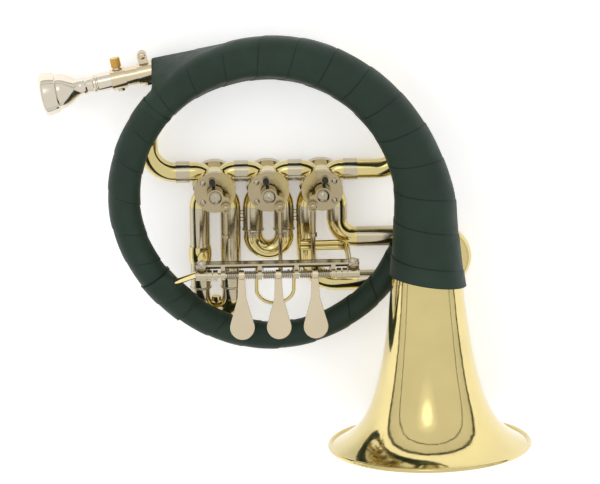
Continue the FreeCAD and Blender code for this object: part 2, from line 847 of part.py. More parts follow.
def tuning_sleeve():
    """The sliding sleeve that holds the mouthpiece, with its clamp collar."""
    start = mouth_point(sleeve_start)
    end = mouth_point(sleeve_start + sleeve_length)
    tube = pipe(start, end, sleeve_r, mouth_shank_r + slide_clearance)
    collar = clamp_collar(sleeve_start, sleeve_r - solder_gap)
    middle = collar_middle(sleeve_start)
    boss = rod(mouth_point(middle, sleeve_r), mouth_point(middle, collar_r + thumb_boss_rise),
               thumb_boss_r)
    hole = rod(mouth_point(middle), mouth_point(middle, collar_r + thumb_boss_rise + overrun),
               link_pin_r + hinge_clearance)
    return fused([tube, collar, boss]).cut(hole)


def thumb_screw():
    """Knurled gold screw that pinches the mouthpiece."""
    middle = collar_middle(sleeve_start)
    low = collar_r + thumb_boss_rise + stand_off
    top = low + thumb_screw_height
    head = rod(mouth_point(middle, low), mouth_point(middle, top), thumb_screw_r)
    shank = rod(mouth_point(middle, mouth_shank_r + stand_off), mouth_point(middle, top - overrun),
                link_pin_r)
    grooves = []
    for i in range(thumb_grooves):
        a = 2 * math.pi * i / thumb_grooves
        side = (mouth_dir * math.cos(a) + Z_AXIS * math.sin(a)) * thumb_screw_r
        grooves.append(rod(mouth_point(middle, low - overrun) + side,
                           mouth_point(middle, top + overrun) + side, thumb_groove_r))
    return head.cut(Part.makeCompound(grooves)).fuse(shank).removeSplitter()


def mouthpiece_receiver():
    """Fixed receiver tube with its clamp collar and the two ears that a screw pinches."""
    tube = rod(mouth_point(receiver_start), mouth_point(receiver_end), receiver_r)
    collar = clamp_collar(receiver_start, receiver_r - solder_gap)
    middle = collar_middle(receiver_start)
    pieces = [tube, collar]
    for low in (ear_gap / 2, -ear_gap / 2 - ear_thickness):
        corners = [mouth_point(middle - ear_r, receiver_r, low),
                   mouth_point(middle + ear_r, receiver_r, low),
                   mouth_point(middle + ear_r, ear_reach, low),
                   mouth_point(middle - ear_r, ear_reach, low)]
        web = Part.Face(Part.makePolygon(corners + corners[:1])).extrude(Z_AXIS * ear_thickness)
        pieces.append(web)
        pieces.append(rod(mouth_point(middle, ear_reach, low),
                          mouth_point(middle, ear_reach, low + ear_thickness), ear_r))
    reach = ear_gap / 2 + ear_thickness + overrun
    hole = rod(mouth_point(middle, ear_reach, -reach), mouth_point(middle, ear_reach, reach),
               ear_shank_r + solder_gap)
    bore = rod(mouth_point(receiver_start - overrun), mouth_point(receiver_end + overrun),
               sleeve_r + slide_clearance)
    return fused(pieces).cut(hole).cut(bore)


def receiver_screw():
    """Slotted screw through the receiver's ears."""
    at = mouth_point(collar_middle(receiver_start), ear_reach)
    half = ear_gap / 2 + ear_thickness
    return domed_screw(at.x, at.y, lead_height + half, ear_screw_r, ear_screw_rise, ear_slot_angle,
                       ear_shank_r, lead_height - half)


def knuckle_wire(x, side_x, side_y, end):
    """A tube path that leaves a valve at 45 degrees and bends into line."""
    offset = main_offset if end[0] != x + side_x * leg_offset else leg_offset
    corner = V(x + side_x * offset, side_y * offset, tube_height)
    start = V(x, 0, tube_height)
    finish = V(end[0], end[1], tube_height)
    return bent_wire([start, corner, finish], [knuckle_r])


def valve_x(i):
    return (i - 1) * valve_pitch


def hand(i):
    """The third valve's crank is the mirror image of the others."""
    return -1 if i == 2 else 1


def valve_casing(i):
    """Casing with its four tube knuckles, bored for the rotor."""
    x = valve_x(i)
    left_end = left_ferrule_x if i == 0 else x - valve_pitch / 2 + solder_gap
    right_end = right_ferrule_x if i == 2 else x + valve_pitch / 2 - solder_gap
    ends = [(-1, 1, (left_end, main_offset)), (1, 1, (right_end, main_offset)),
            (-1, -1, (x - leg_offset, leg_top_y)), (1, -1, (x + leg_offset, leg_top_y))]
    shell = disc_solid(casing_r, cap_height, casing_top, x)
    thread = disc_solid(casing_thread_r, bearing_bottom, cap_height, x)
    solid = shell.fuse(thread)
    wires = [knuckle_wire(x, side_x, side_y, end) for side_x, side_y, end in ends]
    for wire in wires:
        solid = solid.fuse(swept(wire, line_tube_r))
    solid = solid.cut(disc_solid(rotor_r + rotor_clearance, bearing_bottom - overrun,
                                 casing_top + overrun, x))
    for wire in wires:
        solid = solid.cut(swept(wire, line_tube_r - tube_wall))
    return solid


def back_cap(i):
    """Screwed cap whose flat back is one of the horn's resting faces."""
    x = valve_x(i)
    cup = disc_solid(back_cap_r, 0, cap_height - solder_gap, x)
    return cup.cut(disc_solid(casing_thread_r + solder_gap, cap_floor, cap_height + overrun, x))


def rear_bearing(i):
    x = valve_x(i)
    plate = disc_solid(rotor_r, bearing_bottom + solder_gap, rear_bearing_top, x)
    return plate.cut(disc_solid(rear_spindle_r + rotor_clearance, 0, cap_height + overrun, x))


def front_bearing(i):
    """Brass front disc with the plug that carries the rotor's long spindle."""
    x = valve_x(i)
    plug = disc_solid(rotor_r, rotor_top + stand_off / 2, casing_top + overrun, x)
    flange = disc_solid(disc_r, casing_top, front_disc_top, x)
    hole = disc_solid(front_spindle_r + rotor_clearance, rotor_top, front_disc_top + overrun, x)
    return plug.fuse(flange).cut(hole).removeSplitter()


def rotor(i):
    """Rotor with its two air passages; at rest they join the upper and the lower ports."""
    x = valve_x(i)
    body = disc_solid(rotor_r, rotor_bottom, rotor_top, x)
    body = body.fuse(disc_solid(rear_spindle_r, bearing_bottom + solder_gap, rotor_bottom, x))
    body = body.fuse(disc_solid(front_spindle_r, rotor_top, spindle_top, x))
    for side in (1, -1):
        y = side * passage_offset
        body = body.cut(rod(V(x - casing_r, y, tube_height), V(x + casing_r, y, tube_height), passage_r))
    return body.removeSplitter()


def polar(i, radius, angle):
    """A point beside valve i's axis; the third valve is mirrored."""
    a = math.radians(angle)
    return V(valve_x(i) + hand(i) * radius * math.cos(a), radius * math.sin(a), 0)


def cork_angles():
    swing = 2 * math.degrees(math.asin((finger_r + cork_r + stand_off / 2) / (2 * stop_radius)))
    return finger_rest_angle - swing, finger_rest_angle + 90 + swing


def stop_plate(i):
    """Nickel plate over the front disc, with the two cups that hold the corks."""
    x = valve_x(i)
    h = hand(i)
    plate = disc_solid(disc_r, front_disc_top, stop_plate_top, x)
    plate = plate.cut(box(x + h * stop_plate_flat, x + h * (disc_r + overrun), -disc_r - overrun,
                          disc_r + overrun, 0, crank_bottom))
    for angle in cork_angles():
        at = polar(i, stop_radius, angle)
        plate = plate.fuse(disc_solid(cork_cup_r, front_disc_top, cork_cup_top, at.x, at.y))
    for angle in cork_angles():
        at = polar(i, stop_radius, angle)
        plate = plate.cut(disc_solid(cork_r + solder_gap, stop_plate_top, crank_bottom, at.x, at.y))
    plate = plate.cut(disc_solid(plate_hole_r, 0, crank_bottom, x))
    for side in (1, -1):
        plate = plate.cut(disc_solid(plate_screw_shank_r + solder_gap, 0, crank_bottom,
                                     x + h * plate_screw_x, side * plate_screw_y))
    return plate.removeSplitter()


def domed_screw(x, y, seat, radius, rise, slot_angle, shank_r=0.0, shank_end=0.0):
    """A cheese-head screw with a domed top and a slot."""
    rim = rise * screw_rim_share
    crown = rise - rim
    ball_r = (radius * radius + crown * crown) / (2 * crown)
    head = disc_solid(radius, seat, seat + rise, x, y)
    ball = Part.makeSphere(ball_r, V(x, y, seat + rise - ball_r))
    head = head.common(ball.fuse(disc_solid(radius, seat, seat + rim, x, y)))
    slot = box(-radius - overrun, radius + overrun, -slot_width / 2, slot_width / 2,
               seat + rise - slot_depth, seat + rise + overrun)
    slot.rotate(V(0, 0, 0), Z_AXIS, slot_angle)
    slot.translate(V(x, y, 0))
    head = head.cut(slot)
    if shank_r > 0:
        head = head.fuse(disc_solid(shank_r, shank_end, seat, x, y))
    return head


def stop_plate_screws():
    heads = []
    for i in range(3):
        for side in (1, -1):
            heads.append(domed_screw(valve_x(i) + hand(i) * plate_screw_x, side * plate_screw_y,
                                     stop_plate_top, plate_screw_r, plate_screw_rise,
                                     plate_slot_angle * side, plate_screw_shank_r, front_disc_top))
    return Part.makeCompound(heads)


def stop_corks():
    corks = []
    for i in range(3):
        for angle in cork_angles():
            at = polar(i, stop_radius, angle)
            corks.append(disc_solid(cork_r, stop_plate_top, cork_top, at.x, at.y))
    return Part.makeCompound(corks)


def arm_bar(i, angle, length, width, bottom, top):
    bar = box(0, length, -width / 2, width / 2, bottom, top)
    turned = angle if hand(i) > 0 else 180.0 - angle
    bar.rotate(V(0, 0, 0), Z_AXIS, turned)
    bar.translate(V(valve_x(i), 0, 0))
    return bar


def crank(i):
    """Hub, throw arm with the link pin, and the finger that meets the corks."""
    x = valve_x(i)
    eye = polar(i, crank_radius, crank_rest_angle)
    finger = polar(i, stop_radius, finger_rest_angle)
    hub = disc_solid(hub_r, finger_bottom, hub_top, x)
    pieces = [hub,
              arm_bar(i, crank_rest_angle, crank_radius, crank_arm_width, crank_bottom, crank_arm_top),
              disc_solid(eye_r, crank_bottom, crank_arm_top, eye.x, eye.y),
              arm_bar(i, finger_rest_angle, stop_radius, finger_r * 2, crank_bottom, crank_arm_top),
              disc_solid(finger_r, finger_bottom, crank_arm_top, finger.x, finger.y)]
    pin_top = rod_height + rod_eye_half + stand_off
    pieces.append(disc_solid(link_pin_r, crank_arm_top, pin_top, eye.x, eye.y))
    head = domed_screw(eye.x, eye.y, pin_top, pin_head_r, pin_head_height,
                       pin_slot_angle * hand(i))
    solid = fused(pieces + [head])
    return solid.cut(disc_solid(front_spindle_r + solder_gap, 0, spindle_top + solder_gap, x))


def crank_screw(i):
    return domed_screw(valve_x(i), 0, hub_top, crank_screw_r, crank_screw_rise,
                       crank_slot_angles[i])


def link_rod(i):
    """Pull rod from the crank's pin down to the lever's arm."""
    eye = polar(i, crank_radius, crank_rest_angle)
    low_y = pivot_y - lever_arm_y
    upper = disc_solid(eye_r, rod_height - rod_eye_half, rod_height + rod_eye_half, eye.x, eye.y)
    ring_r = rod_eye_bore + rod_eye_wall
    lower = rod(V(eye.x - rod_eye_width_half, low_y, rod_height),
                V(eye.x + rod_eye_width_half, low_y, rod_height), ring_r)
    barrel_end = eye.y - link_barrel_length
    collar_end = barrel_end - link_collar_length
    collar_middle_y = (barrel_end + collar_end) / 2
    bars = [rod(V(eye.x, eye.y, rod_height), V(eye.x, collar_middle_y, rod_height), link_rod_r),
            rod(V(eye.x, barrel_end, rod_height), V(eye.x, collar_end, rod_height), link_collar_r),
            rod(V(eye.x, barrel_end, rod_height), V(eye.x, low_y, rod_height), link_thin_r)]
    solid = fused([upper, lower] + bars)
    solid = solid.cut(disc_solid(link_pin_r + hinge_clearance, 0, pivot_z, eye.x, eye.y))
    hole = rod(V(eye.x - rod_eye_width_half - overrun, low_y, rod_height),
               V(eye.x + rod_eye_width_half + overrun, low_y, rod_height), rod_eye_bore)
    return solid.cut(hole)


def paddle_face(x):
    """Flat outline of a touchpiece: a narrow stem opening to a round spoon."""
    spoon_y = -(paddle_length - spoon_r)
    swing = math.acos(spoon_r / math.hypot(neck_half, spoon_y + neck_length))
    contact = math.atan2(-neck_length - spoon_y, neck_half) - swing
    centre = V(x, spoon_y, 0)
    right = centre + V(math.cos(contact), math.sin(contact), 0) * spoon_r
    left = V(2 * x - right.x, right.y, 0)
    low = centre - Y_AXIS * spoon_r
    corners = [left, V(x - neck_half, -neck_length, 0), V(x - stem_half, 0, 0),
               V(x + stem_half, 0, 0), V(x + neck_half, -neck_length, 0), right]
    edges = []
    for start, end in zip(corners, corners[1:]):
        edges.append(Part.LineSegment(start, end).toShape())
    edges.append(Part.Arc(right, low, left).toShape())
    return Part.Face(Part.Wire(edges))


def lever(i):
    """Touchpiece, hinge barrel and rear arm, made level and then turned to rest."""
    x = lever_x[i]
    arm_x = x + arm_shift[i]
    eye_x = polar(i, crank_radius, crank_rest_angle).x
    face = paddle_face(x)
    face.translate(V(0, pivot_y, pivot_z - paddle_thickness / 2))
    paddle = face.extrude(Z_AXIS * paddle_thickness)
    rims = [e for e in paddle.Edges if e.BoundBox.ZLength < paddle_thickness / 2]
    far = [e for e in rims if e.CenterOfMass.y < pivot_y - barrel_r]
    paddle = paddle.makeFillet(paddle_edge_r, far)
    barrel = rod(V(x - barrel_half, pivot_y, pivot_z), V(x + barrel_half, pivot_y, pivot_z), barrel_r)
    foot_top = pivot_z - barrel_r + tube_wall
    foot_low = foot_top - arm_depth
    left = min(x - barrel_half, arm_x - arm_half)
    right = max(x + barrel_half, arm_x + arm_half)
    foot = box(left, right, pivot_y - arm_depth / 2, pivot_y + arm_depth / 2, foot_low,
               pivot_z - barrel_r - 2 * stand_off)
    neck = box(x - barrel_half, x + barrel_half, pivot_y - arm_depth / 2, pivot_y + arm_depth / 2,
               foot_low, pivot_z)
    pin_z = pivot_z - lever_arm_length
    arm = box(arm_x - arm_half, arm_x + arm_half, pivot_y - arm_depth / 2, pivot_y + arm_depth / 2,
              pin_z, foot_top - tube_wall * 2)
    tip = rod(V(arm_x - arm_half, pivot_y, pin_z), V(arm_x + arm_half, pivot_y, pin_z), arm_depth / 2)
    towards = 1 if eye_x > arm_x else -1
    sideways = crank_radius - lever_arm_y
    outer_reach = rod_eye_width_half + stand_off
    if hand(i) * towards > 0:
        outer_reach += sideways
    end_x = eye_x + towards * outer_reach
    pin = rod(V(arm_x, pivot_y, pin_z), V(end_x, pivot_y, pin_z), arm_pin_r)
    head = rod(V(end_x, pivot_y, pin_z), V(end_x + towards * pin_end_length, pivot_y, pin_z), pin_end_r)
    solid = fused([paddle, barrel, foot, neck, arm, tip, pin, head])
    bore = rod(V(x - paddle_length, pivot_y, pivot_z), V(x + paddle_length, pivot_y, pivot_z),
               hinge_rod_r + hinge_clearance)
    solid = solid.cut(bore)
    solid.rotate(V(0, pivot_y, pivot_z), X_AXIS, -lever_travel / 2)
    return solid


def biarc(p0, t0, p1, t1):
    """Two tangent arcs from p0 to p1, given the directions at both ends."""
    v = p1 - p0
    t = t0 + t1
    a = 2 * (1 - t0.dot(t1))
    b = 2 * v.dot(t)
    d = (-b + math.sqrt(b * b + 4 * a * v.dot(v))) / (2 * a)
    middle = (p0 + t0 * d + p1 - t1 * d) * 0.5
    edges = []
    for start, tangent, end in ((p0, t0, middle), (middle, (middle - p0 - t0 * d).normalize(), p1)):
        chord = end - start
        along = V(chord).normalize()
        across = tangent - along * tangent.dot(along)
        angle = tangent.getAngle(chord)
        across.normalize()
        top = (start + end) * 0.5 + across * (chord.Length / 2 * math.tan(angle / 2))
        edges.append(Part.Arc(start, top, end).toShape())
    return edges


def spring_coil(x_lever, side):
    """One coil round the hinge rod, from its leg on the rail to its leg under the lever."""
    inner_x = x_lever + side * (barrel_half + stand_off + spring_wire_r)
    rise = side * spring_pitch

    def point(turn):
        a = 2 * math.pi * turn
        return V(inner_x + rise * turn, pivot_y + spring_r * math.sin(a),
                 pivot_z - spring_r * math.cos(a))

    def tangent(turn):
        a = 2 * math.pi * turn
        return V(rise, 2 * math.pi * spring_r * math.cos(a),
                 2 * math.pi * spring_r * math.sin(a)).normalize()

    edges = []
    start = point(0)
    start_heading = tangent(0)
    foot = start - start_heading * spring_tail
    edges.append(Part.LineSegment(foot, start).toShape())
    quarter = 0.25
    steps = int(spring_turns / quarter)
    for k in range(steps):
        turn = k * quarter
        edges += biarc(point(turn), tangent(turn), point(turn + quarter), tangent(turn + quarter))
    end = point(spring_turns)
    edges.append(Part.LineSegment(end, end + tangent(spring_turns) * spring_leg).toShape())
    wire = Part.Wire(edges)
    circle = Part.Wire(Part.makeCircle(spring_wire_r, foot, start_heading))
    shell = Part.BRepOffsetAPI.MakePipeShell(wire)
    shell.add(circle)
    shell.build()
    shell.makeSolid()
    return shell.shape()


def spring_gap():
    """Least distance between neighbouring turns, measured on points of the helix."""
    least = spring_r
    per_turn = 48
    places = []
    for k in range(spring_turns * per_turn + 1):
        turn = k / per_turn
        a = 2 * math.pi * turn
        places.append(V(spring_pitch * turn, spring_r * math.sin(a), spring_r * math.cos(a)))
    for k, place in enumerate(places):
        for other in places[k + per_turn // 2:]:
            least = min(least, (place - other).Length - 2 * spring_wire_r)
    return least


def lever_springs(i):
    return Part.makeCompound([spring_coil(lever_x[i], -1), spring_coil(lever_x[i], 1)])


def lever_rail():
    """The nickel channel that carries the hinge rod, with its ears and lugs."""
    inner_y = flange_y - rail_wall
    pieces = [box(rail_left, rail_right, inner_y, flange_y, rail_bottom, flange_top),
              box(rail_left, rail_right, rail_back_y, flange_y, rail_bottom, rail_bottom + rail_wall)]
    seat = rail_bottom + rail_wall + ear_rise
    ears = [(rail_left, rail_left + end_ear_length), (rail_right - right_ear_length, rail_right)]
    for left, right in ears:
        pieces.append(box(left, right, pivot_y, flange_y, rail_bottom, seat))
        pieces.append(rod(V(left, pivot_y, pivot_z), V(right, pivot_y, pivot_z), barrel_r))
        pieces.append(box(left, right, pivot_y - barrel_r, pivot_y + barrel_r, rail_bottom,
                          pivot_z - barrel_r / 2))
    for x in lug_x:
        pieces.append(rod(V(x - lug_half, pivot_y, pivot_z), V(x + lug_half, pivot_y, pivot_z),
                          barrel_r))
        pieces.append(box(x - lug_half, x + lug_half, pivot_y, inner_y, rail_bottom, pivot_z))
    solid = fused(pieces)
    solid = solid.cut(rod(V(rail_left - overrun, pivot_y, pivot_z),
                          V(rail_right + overrun, pivot_y, pivot_z), hinge_rod_r + solder_gap))
    for x in rail_screw_x():
        solid = solid.cut(disc_solid(rail_screw_shank_r + solder_gap, 0, flange_top, x, rail_screw_y))
        solid = solid.cut(disc_solid(rail_screw_head_r + stand_off / 2, seat, flange_top + overrun,
                                     x, rail_screw_y))
    return solid


def rail_screw_x():
    return rail_left + rail_screw_inset, rail_right - rail_screw_inset


def rail_screws():
    seat = rail_bottom + rail_wall + ear_rise
    heads = []
    for x, angle in zip(rail_screw_x(), rail_slot_angles):
        heads.append(domed_screw(x, rail_screw_y, seat, rail_screw_head_r, rail_screw_rise, angle,
                                 rail_screw_shank_r, rail_bottom + solder_gap))
    return Part.makeCompound(heads)


def hinge_rod():
    """The rod through all levers, with two thick nuts at each end."""
    bar = rod(V(rail_left, pivot_y, pivot_z), V(rail_right, pivot_y, pivot_z), hinge_rod_r)
    pieces = [bar]
    left_start = rail_left + end_ear_length + stand_off
    right_start = rail_right - right_ear_length - stand_off - nut_width * 2 - nut_gap
    for start in (left_start, left_start + nut_width + nut_gap,
                  right_start, right_start + nut_width + nut_gap):
        pieces.append(rod(V(start, pivot_y, pivot_z), V(start + nut_width, pivot_y, pivot_z), nut_r))
    return fused(pieces)


def thumb_hook():
    """Bent brass wire behind the rail for the player's thumb."""
    top = rail_bottom - hook_wire_r - solder_gap
    drop = math.tan(math.radians(hook_tilt))
    start_y = rail_back_y + hook_wire_r

    def place(x, y):
        return V(hook_x + x, y, top + (y - start_y) * drop)

    round_y = start_y - hook_reach / math.cos(math.radians(hook_tilt))
    arc_start = place(-hook_r, round_y)
    edges = [Part.LineSegment(place(-hook_r, start_y), arc_start).toShape()]
    span = hook_r * math.cos(math.radians(hook_tilt))
    low = place(0, round_y - span)
    arc_end = place(hook_r, round_y)
    edges.append(Part.Arc(arc_start, low, arc_end).toShape())
    edges.append(Part.LineSegment(arc_end, place(hook_r, start_y)).toShape())
    wire = Part.Wire(edges)
    hook = swept(wire, hook_wire_r)
    feet = [rod(place(side * hook_r, start_y), V(hook_x + side * hook_r, start_y, rail_bottom),
                hook_wire_r) for side in (-1, 1)]
    return fused([hook] + feet)


def beaded_leg(start, end):
    """An outer slide leg with a bead at its open end."""
    along = (end - start).normalize()
    start = start + along * solder_gap
    tube = rod(start, end, outer_leg_r)
    bead = Part.makeTorus(outer_leg_r, bead_size, end - along * bead_size, along)
    bore = rod(start - along * overrun, end + along * overrun, inner_leg_r + slide_clearance)
    return tube.fuse(bead).cut(bore)


def leg_xs(i):
    return valve_x(i) - leg_offset, valve_x(i) + leg_offset


def down_legs(i, end_y):
    legs = []
    for x in leg_xs(i):
        legs.append(beaded_leg(V(x, leg_top_y, tube_height), V(x, end_y, tube_height)))
    return legs


def slide_1_outer():
    return Part.makeCompound(down_legs(0, slide_1_outer_end))


def slide_2_outer():
    return Part.makeCompound(down_legs(1, slide_2_outer_end))


def slide_3_outer():
    """Nickel pieces of the third slide that stay with the horn."""
    left, right = leg_xs(2)
    end = slide_3_outer_end
    pieces = [pipe(V(left, leg_top_y, tube_height), V(left, slide_3_left_ferrule, tube_height),
                   outer_leg_r, line_tube_r - tube_wall),
              pipe(V(right, leg_top_y, tube_height), V(right, slide_3_ferrule, tube_height),
                   outer_leg_r, line_tube_r - tube_wall),
              beaded_leg(V(slide_3_sleeve_x, slide_3_left_y, tube_height),
                         V(end, slide_3_left_y, tube_height)),
              beaded_leg(V(slide_3_sleeve_x, slide_3_right_y, tube_height),
                         V(end, slide_3_right_y, tube_height))]
    return Part.makeCompound(pieces)


def slide_3_elbows():
    """Two brass bends that turn the third slide's legs towards the bell."""
    left, right = leg_xs(2)
    bends = [(left, slide_3_left_ferrule, slide_3_left_y, slide_3_left_bend_r),
             (right, slide_3_ferrule, slide_3_right_y, slide_3_right_bend_r)]
    elbows = []
    for x, start_y, end_y, radius in bends:
        points = [V(x, start_y, tube_height), V(x, end_y, tube_height),
                  V(slide_3_sleeve_x, end_y, tube_height)]
        elbows.append(swept_pipe(bent_wire(points, [radius]), line_tube_r, line_tube_r - tube_wall))
    return Part.makeCompound(elbows)


def slide_legs(starts, ends):
    legs = []
    for start, end in zip(starts, ends):
        legs.append(pipe(start, end, inner_leg_r, inner_leg_r - leg_wall))
    return Part.makeCompound(legs)


def slide_bow(start, end, outward):
    """A half-round bow between two parallel legs."""
    half = (end - start).Length / 2
    top = (start + end) * 0.5 + outward * half
    wire = Part.Wire([Part.Arc(start, top, end).toShape()])
    return swept_pipe(wire, line_tube_r, inner_leg_r - leg_wall)


def slide_1_legs():
    xs = leg_xs(0)
    return slide_legs([V(x, leg_top_y - slide_1_gap, tube_height) for x in xs],
                      [V(x, slide_1_bow_y, tube_height) for x in xs])


def slide_1_bow():
    """Bow of the first slide, with the small pull knob between its legs."""
    left, right = leg_xs(0)
    bow = slide_bow(V(left, slide_1_bow_y, tube_height), V(right, slide_1_bow_y, tube_height), -Y_AXIS)
    x = valve_x(0)
    inner_y = slide_1_bow_y - leg_offset + inner_leg_r
    stem = rod(V(x, inner_y - line_tube_r / 4, tube_height),
               V(x, inner_y + knob_length, tube_height), knob_stem_r)
    knob = rod(V(x, inner_y + knob_neck, tube_height), V(x, inner_y + knob_length, tube_height), knob_r)
    stem = stem.cut(Part.makeTorus(leg_offset, inner_leg_r, V(x, slide_1_bow_y, tube_height), Z_AXIS))
    return fused([bow, stem, knob])


def slide_2_legs():
    xs = leg_xs(1)
    return slide_legs([V(x, leg_top_y - slide_2_gap, tube_height) for x in xs],
                      [V(x, slide_2_bow_y, tube_height) for x in xs])


def slide_2_bow():
    left, right = leg_xs(1)
    return slide_bow(V(left, slide_2_bow_y, tube_height), V(right, slide_2_bow_y, tube_height), -Y_AXIS)


def slide_3_legs():
    ys = (slide_3_left_y, slide_3_right_y)
    return slide_legs([V(slide_3_sleeve_x + slide_3_gap, y, tube_height) for y in ys],
                      [V(slide_3_bow_x, y, tube_height) for y in ys])


def slide_3_bow():
    return slide_bow(V(slide_3_bow_x, slide_3_left_y, tube_height),
                     V(slide_3_bow_x, slide_3_right_y, tube_height), X_AXIS)


def line_ferrules():
    """Nickel ferrules over the joints of the main line."""
    centres = [left_ferrule_x, -valve_pitch / 2, valve_pitch / 2, right_ferrule_x]
    half = ferrule_length / 2
    return Part.makeCompound([pipe(V(x - half, main_offset, tube_height),
                                   V(x + half, main_offset, tube_height),
                                   ferrule_r, line_tube_r + solder_gap) for x in centres])


def leg_collar():
    """Bulged brass collar round the first slide's left outer leg."""
    x = leg_xs(0)[0]
    middle = (brass_collar_top + brass_collar_end) / 2
    bulge = Part.BSplineCurve()
    bulge.interpolate([V(outer_leg_r + tube_wall, brass_collar_top, 0), V(collar_bulge_r, middle, 0),
                       V(outer_leg_r + tube_wall, brass_collar_end, 0)])
    inner_top = V(outer_leg_r + solder_gap, brass_collar_top, 0)
    inner_end = V(outer_leg_r + solder_gap, brass_collar_end, 0)
    edges = [Part.LineSegment(inner_top, V(outer_leg_r + tube_wall, brass_collar_top, 0)).toShape(),
             bulge.toShape(),
             Part.LineSegment(V(outer_leg_r + tube_wall, brass_collar_end, 0), inner_end).toShape(),
             Part.LineSegment(inner_end, inner_top).toShape()]
    solid = Part.Face(Part.Wire(edges)).revolve(V(0, 0, 0), Y_AXIS, 360)
    solid.translate(V(x, 0, tube_height))
    return solid


def leg_braces():
    """Short rods between neighbouring legs."""
    rods = []
    for i in (0, 1):
        start = leg_xs(i)[1] + outer_leg_r
        end = leg_xs(i + 1)[0] - outer_leg_r
        for at in (brace_y, brace_y - brace_spacing):
            rods.append(rod(V(start, at, tube_height), V(end, at, tube_height), brace_r))
    return Part.makeCompound(rods)


def strut_bar(radius):
    return rod(main_turn_point(strut_angle), V(strut_head_x, pivot_y, rail_bottom), radius)


def left_strut():
    """Brass strut from the coil up to the rail's left end."""
    bar = strut_bar(strut_r)
    cap = disc_solid(strut_r, rail_bottom - strut_r * 2, rail_bottom, strut_head_x, pivot_y)
    reach = paddle_length
    above = box(rail_left - reach, rail_right, pivot_y - reach, pivot_y + reach, rail_bottom,
                rail_bottom + reach)
    return bar.fuse(cap).cut(above)


def right_bracket():
    """Two bent rods from the third slide's left leg up to the rail's right end."""
    low = tube_height + line_tube_r + bracket_r
    bars = []
    for side in (-1, 1):
        y = bracket_y + side * (bracket_r + solder_gap)
        points = [V(bracket_left_x, y, low), V(bracket_x, y, low), V(bracket_x, y, rail_bottom)]
        bars.append(swept(bent_wire(points, [bracket_bend_r]), bracket_r))
    return Part.makeCompound(bars)


def add(name, shape):
    nodes[name] = shape


def build():
    add("bell", bell())
    add("bell_rim_wire", bell_rim_wire())
    add("ring_tube", ring_tube())
    add("first_turn_tube", first_turn_tube())
    add("leather_ring", leather_ring().cut(strut_bar(strut_r + solder_gap)))
    add("leather_left_bundle", leather_left_bundle())
    add("leather_right_bundle", leather_right_bundle())
    add("leather_tail", leather_tail())
    add("leadpipe", leadpipe())
    add("gooseneck", gooseneck())
    add("mouthpiece_receiver", mouthpiece_receiver())
    add("tuning_sleeve", tuning_sleeve())
    add("clamp_thumb_screw", thumb_screw())
    add("receiver_screw", receiver_screw())
    add("mouthpiece", mouthpiece())
    add("line_ferrules", line_ferrules())
    for i in range(3):
        add("valve_%d_casing" % (i + 1), valve_casing(i))
        add("rotor_%d" % (i + 1), rotor(i))
        add("crank_%d" % (i + 1), crank(i))
        add("crank_screw_%d" % (i + 1), crank_screw(i))
        add("link_rod_%d" % (i + 1), link_rod(i))
        add("lever_%d" % (i + 1), lever(i))
        add("lever_springs_%d" % (i + 1), lever_springs(i))
    add("valve_back_caps", Part.makeCompound([back_cap(i) for i in range(3)]))
    add("valve_bearings", Part.makeCompound([rear_bearing(i) for i in range(3)]
                                            + [front_bearing(i) for i in range(3)]))
    add("stop_plates", Part.makeCompound([stop_plate(i) for i in range(3)]))
    add("stop_plate_screws", stop_plate_screws())
    add("stop_corks", stop_corks())
    add("slide_1_outer_legs", slide_1_outer())
    add("slide_2_outer_legs", slide_2_outer())
    add("slide_3_outer_legs", slide_3_outer())
    add("slide_3_elbows", slide_3_elbows())
    add("slide_1_inner_legs", slide_1_legs())
    add("slide_1_bow", slide_1_bow())
    add("slide_2_inner_legs", slide_2_legs())
    add("slide_2_bow", slide_2_bow())
    add("slide_3_inner_legs", slide_3_legs())
    add("slide_3_bow", slide_3_bow())
    add("leg_collar", leg_collar())
    add("leg_braces", leg_braces())
    add("left_strut", left_strut().cut(main_turn_solid(0.0)))
    add("right_bracket", right_bracket())
    add("lever_rail", lever_rail())
    add("rail_screws", rail_screws())
    add("hinge_rod", hinge_rod())
    add("thumb_hook", thumb_hook())


build()
os.makedirs("parts", exist_ok=True)
for name, shape in nodes.items():
    shape.exportStep("parts/" + name + ".step")
    print(name, "solids", len(shape.Solids), "valid", shape.isValid(), "volume", round(shape.Volume, 1))
print("least gap between spring turns", round(spring_gap(), 3))
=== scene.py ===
import math

import bmesh
import bpy
import numpy as np
from mathutils import Matrix, Vector


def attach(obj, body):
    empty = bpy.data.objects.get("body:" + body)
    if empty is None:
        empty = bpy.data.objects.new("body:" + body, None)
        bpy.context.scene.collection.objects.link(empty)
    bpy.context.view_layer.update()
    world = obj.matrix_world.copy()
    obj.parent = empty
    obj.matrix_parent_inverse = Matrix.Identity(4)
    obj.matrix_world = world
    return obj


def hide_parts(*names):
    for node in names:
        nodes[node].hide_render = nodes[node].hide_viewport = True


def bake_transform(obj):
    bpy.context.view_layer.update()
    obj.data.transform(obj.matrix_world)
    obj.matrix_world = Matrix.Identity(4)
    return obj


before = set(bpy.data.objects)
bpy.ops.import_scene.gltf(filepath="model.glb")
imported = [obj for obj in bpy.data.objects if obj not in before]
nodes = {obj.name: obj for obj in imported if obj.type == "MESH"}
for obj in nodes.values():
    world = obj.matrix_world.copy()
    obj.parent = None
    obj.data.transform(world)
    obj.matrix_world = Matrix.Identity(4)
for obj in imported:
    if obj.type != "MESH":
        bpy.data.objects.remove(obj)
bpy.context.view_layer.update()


# The bell.
# Spun from sheet brass over a former, with its rim rolled over a wire. It is polished to a mirror and
# sprayed with clear lacquer, so it gets the brass that all the yellow pieces share.

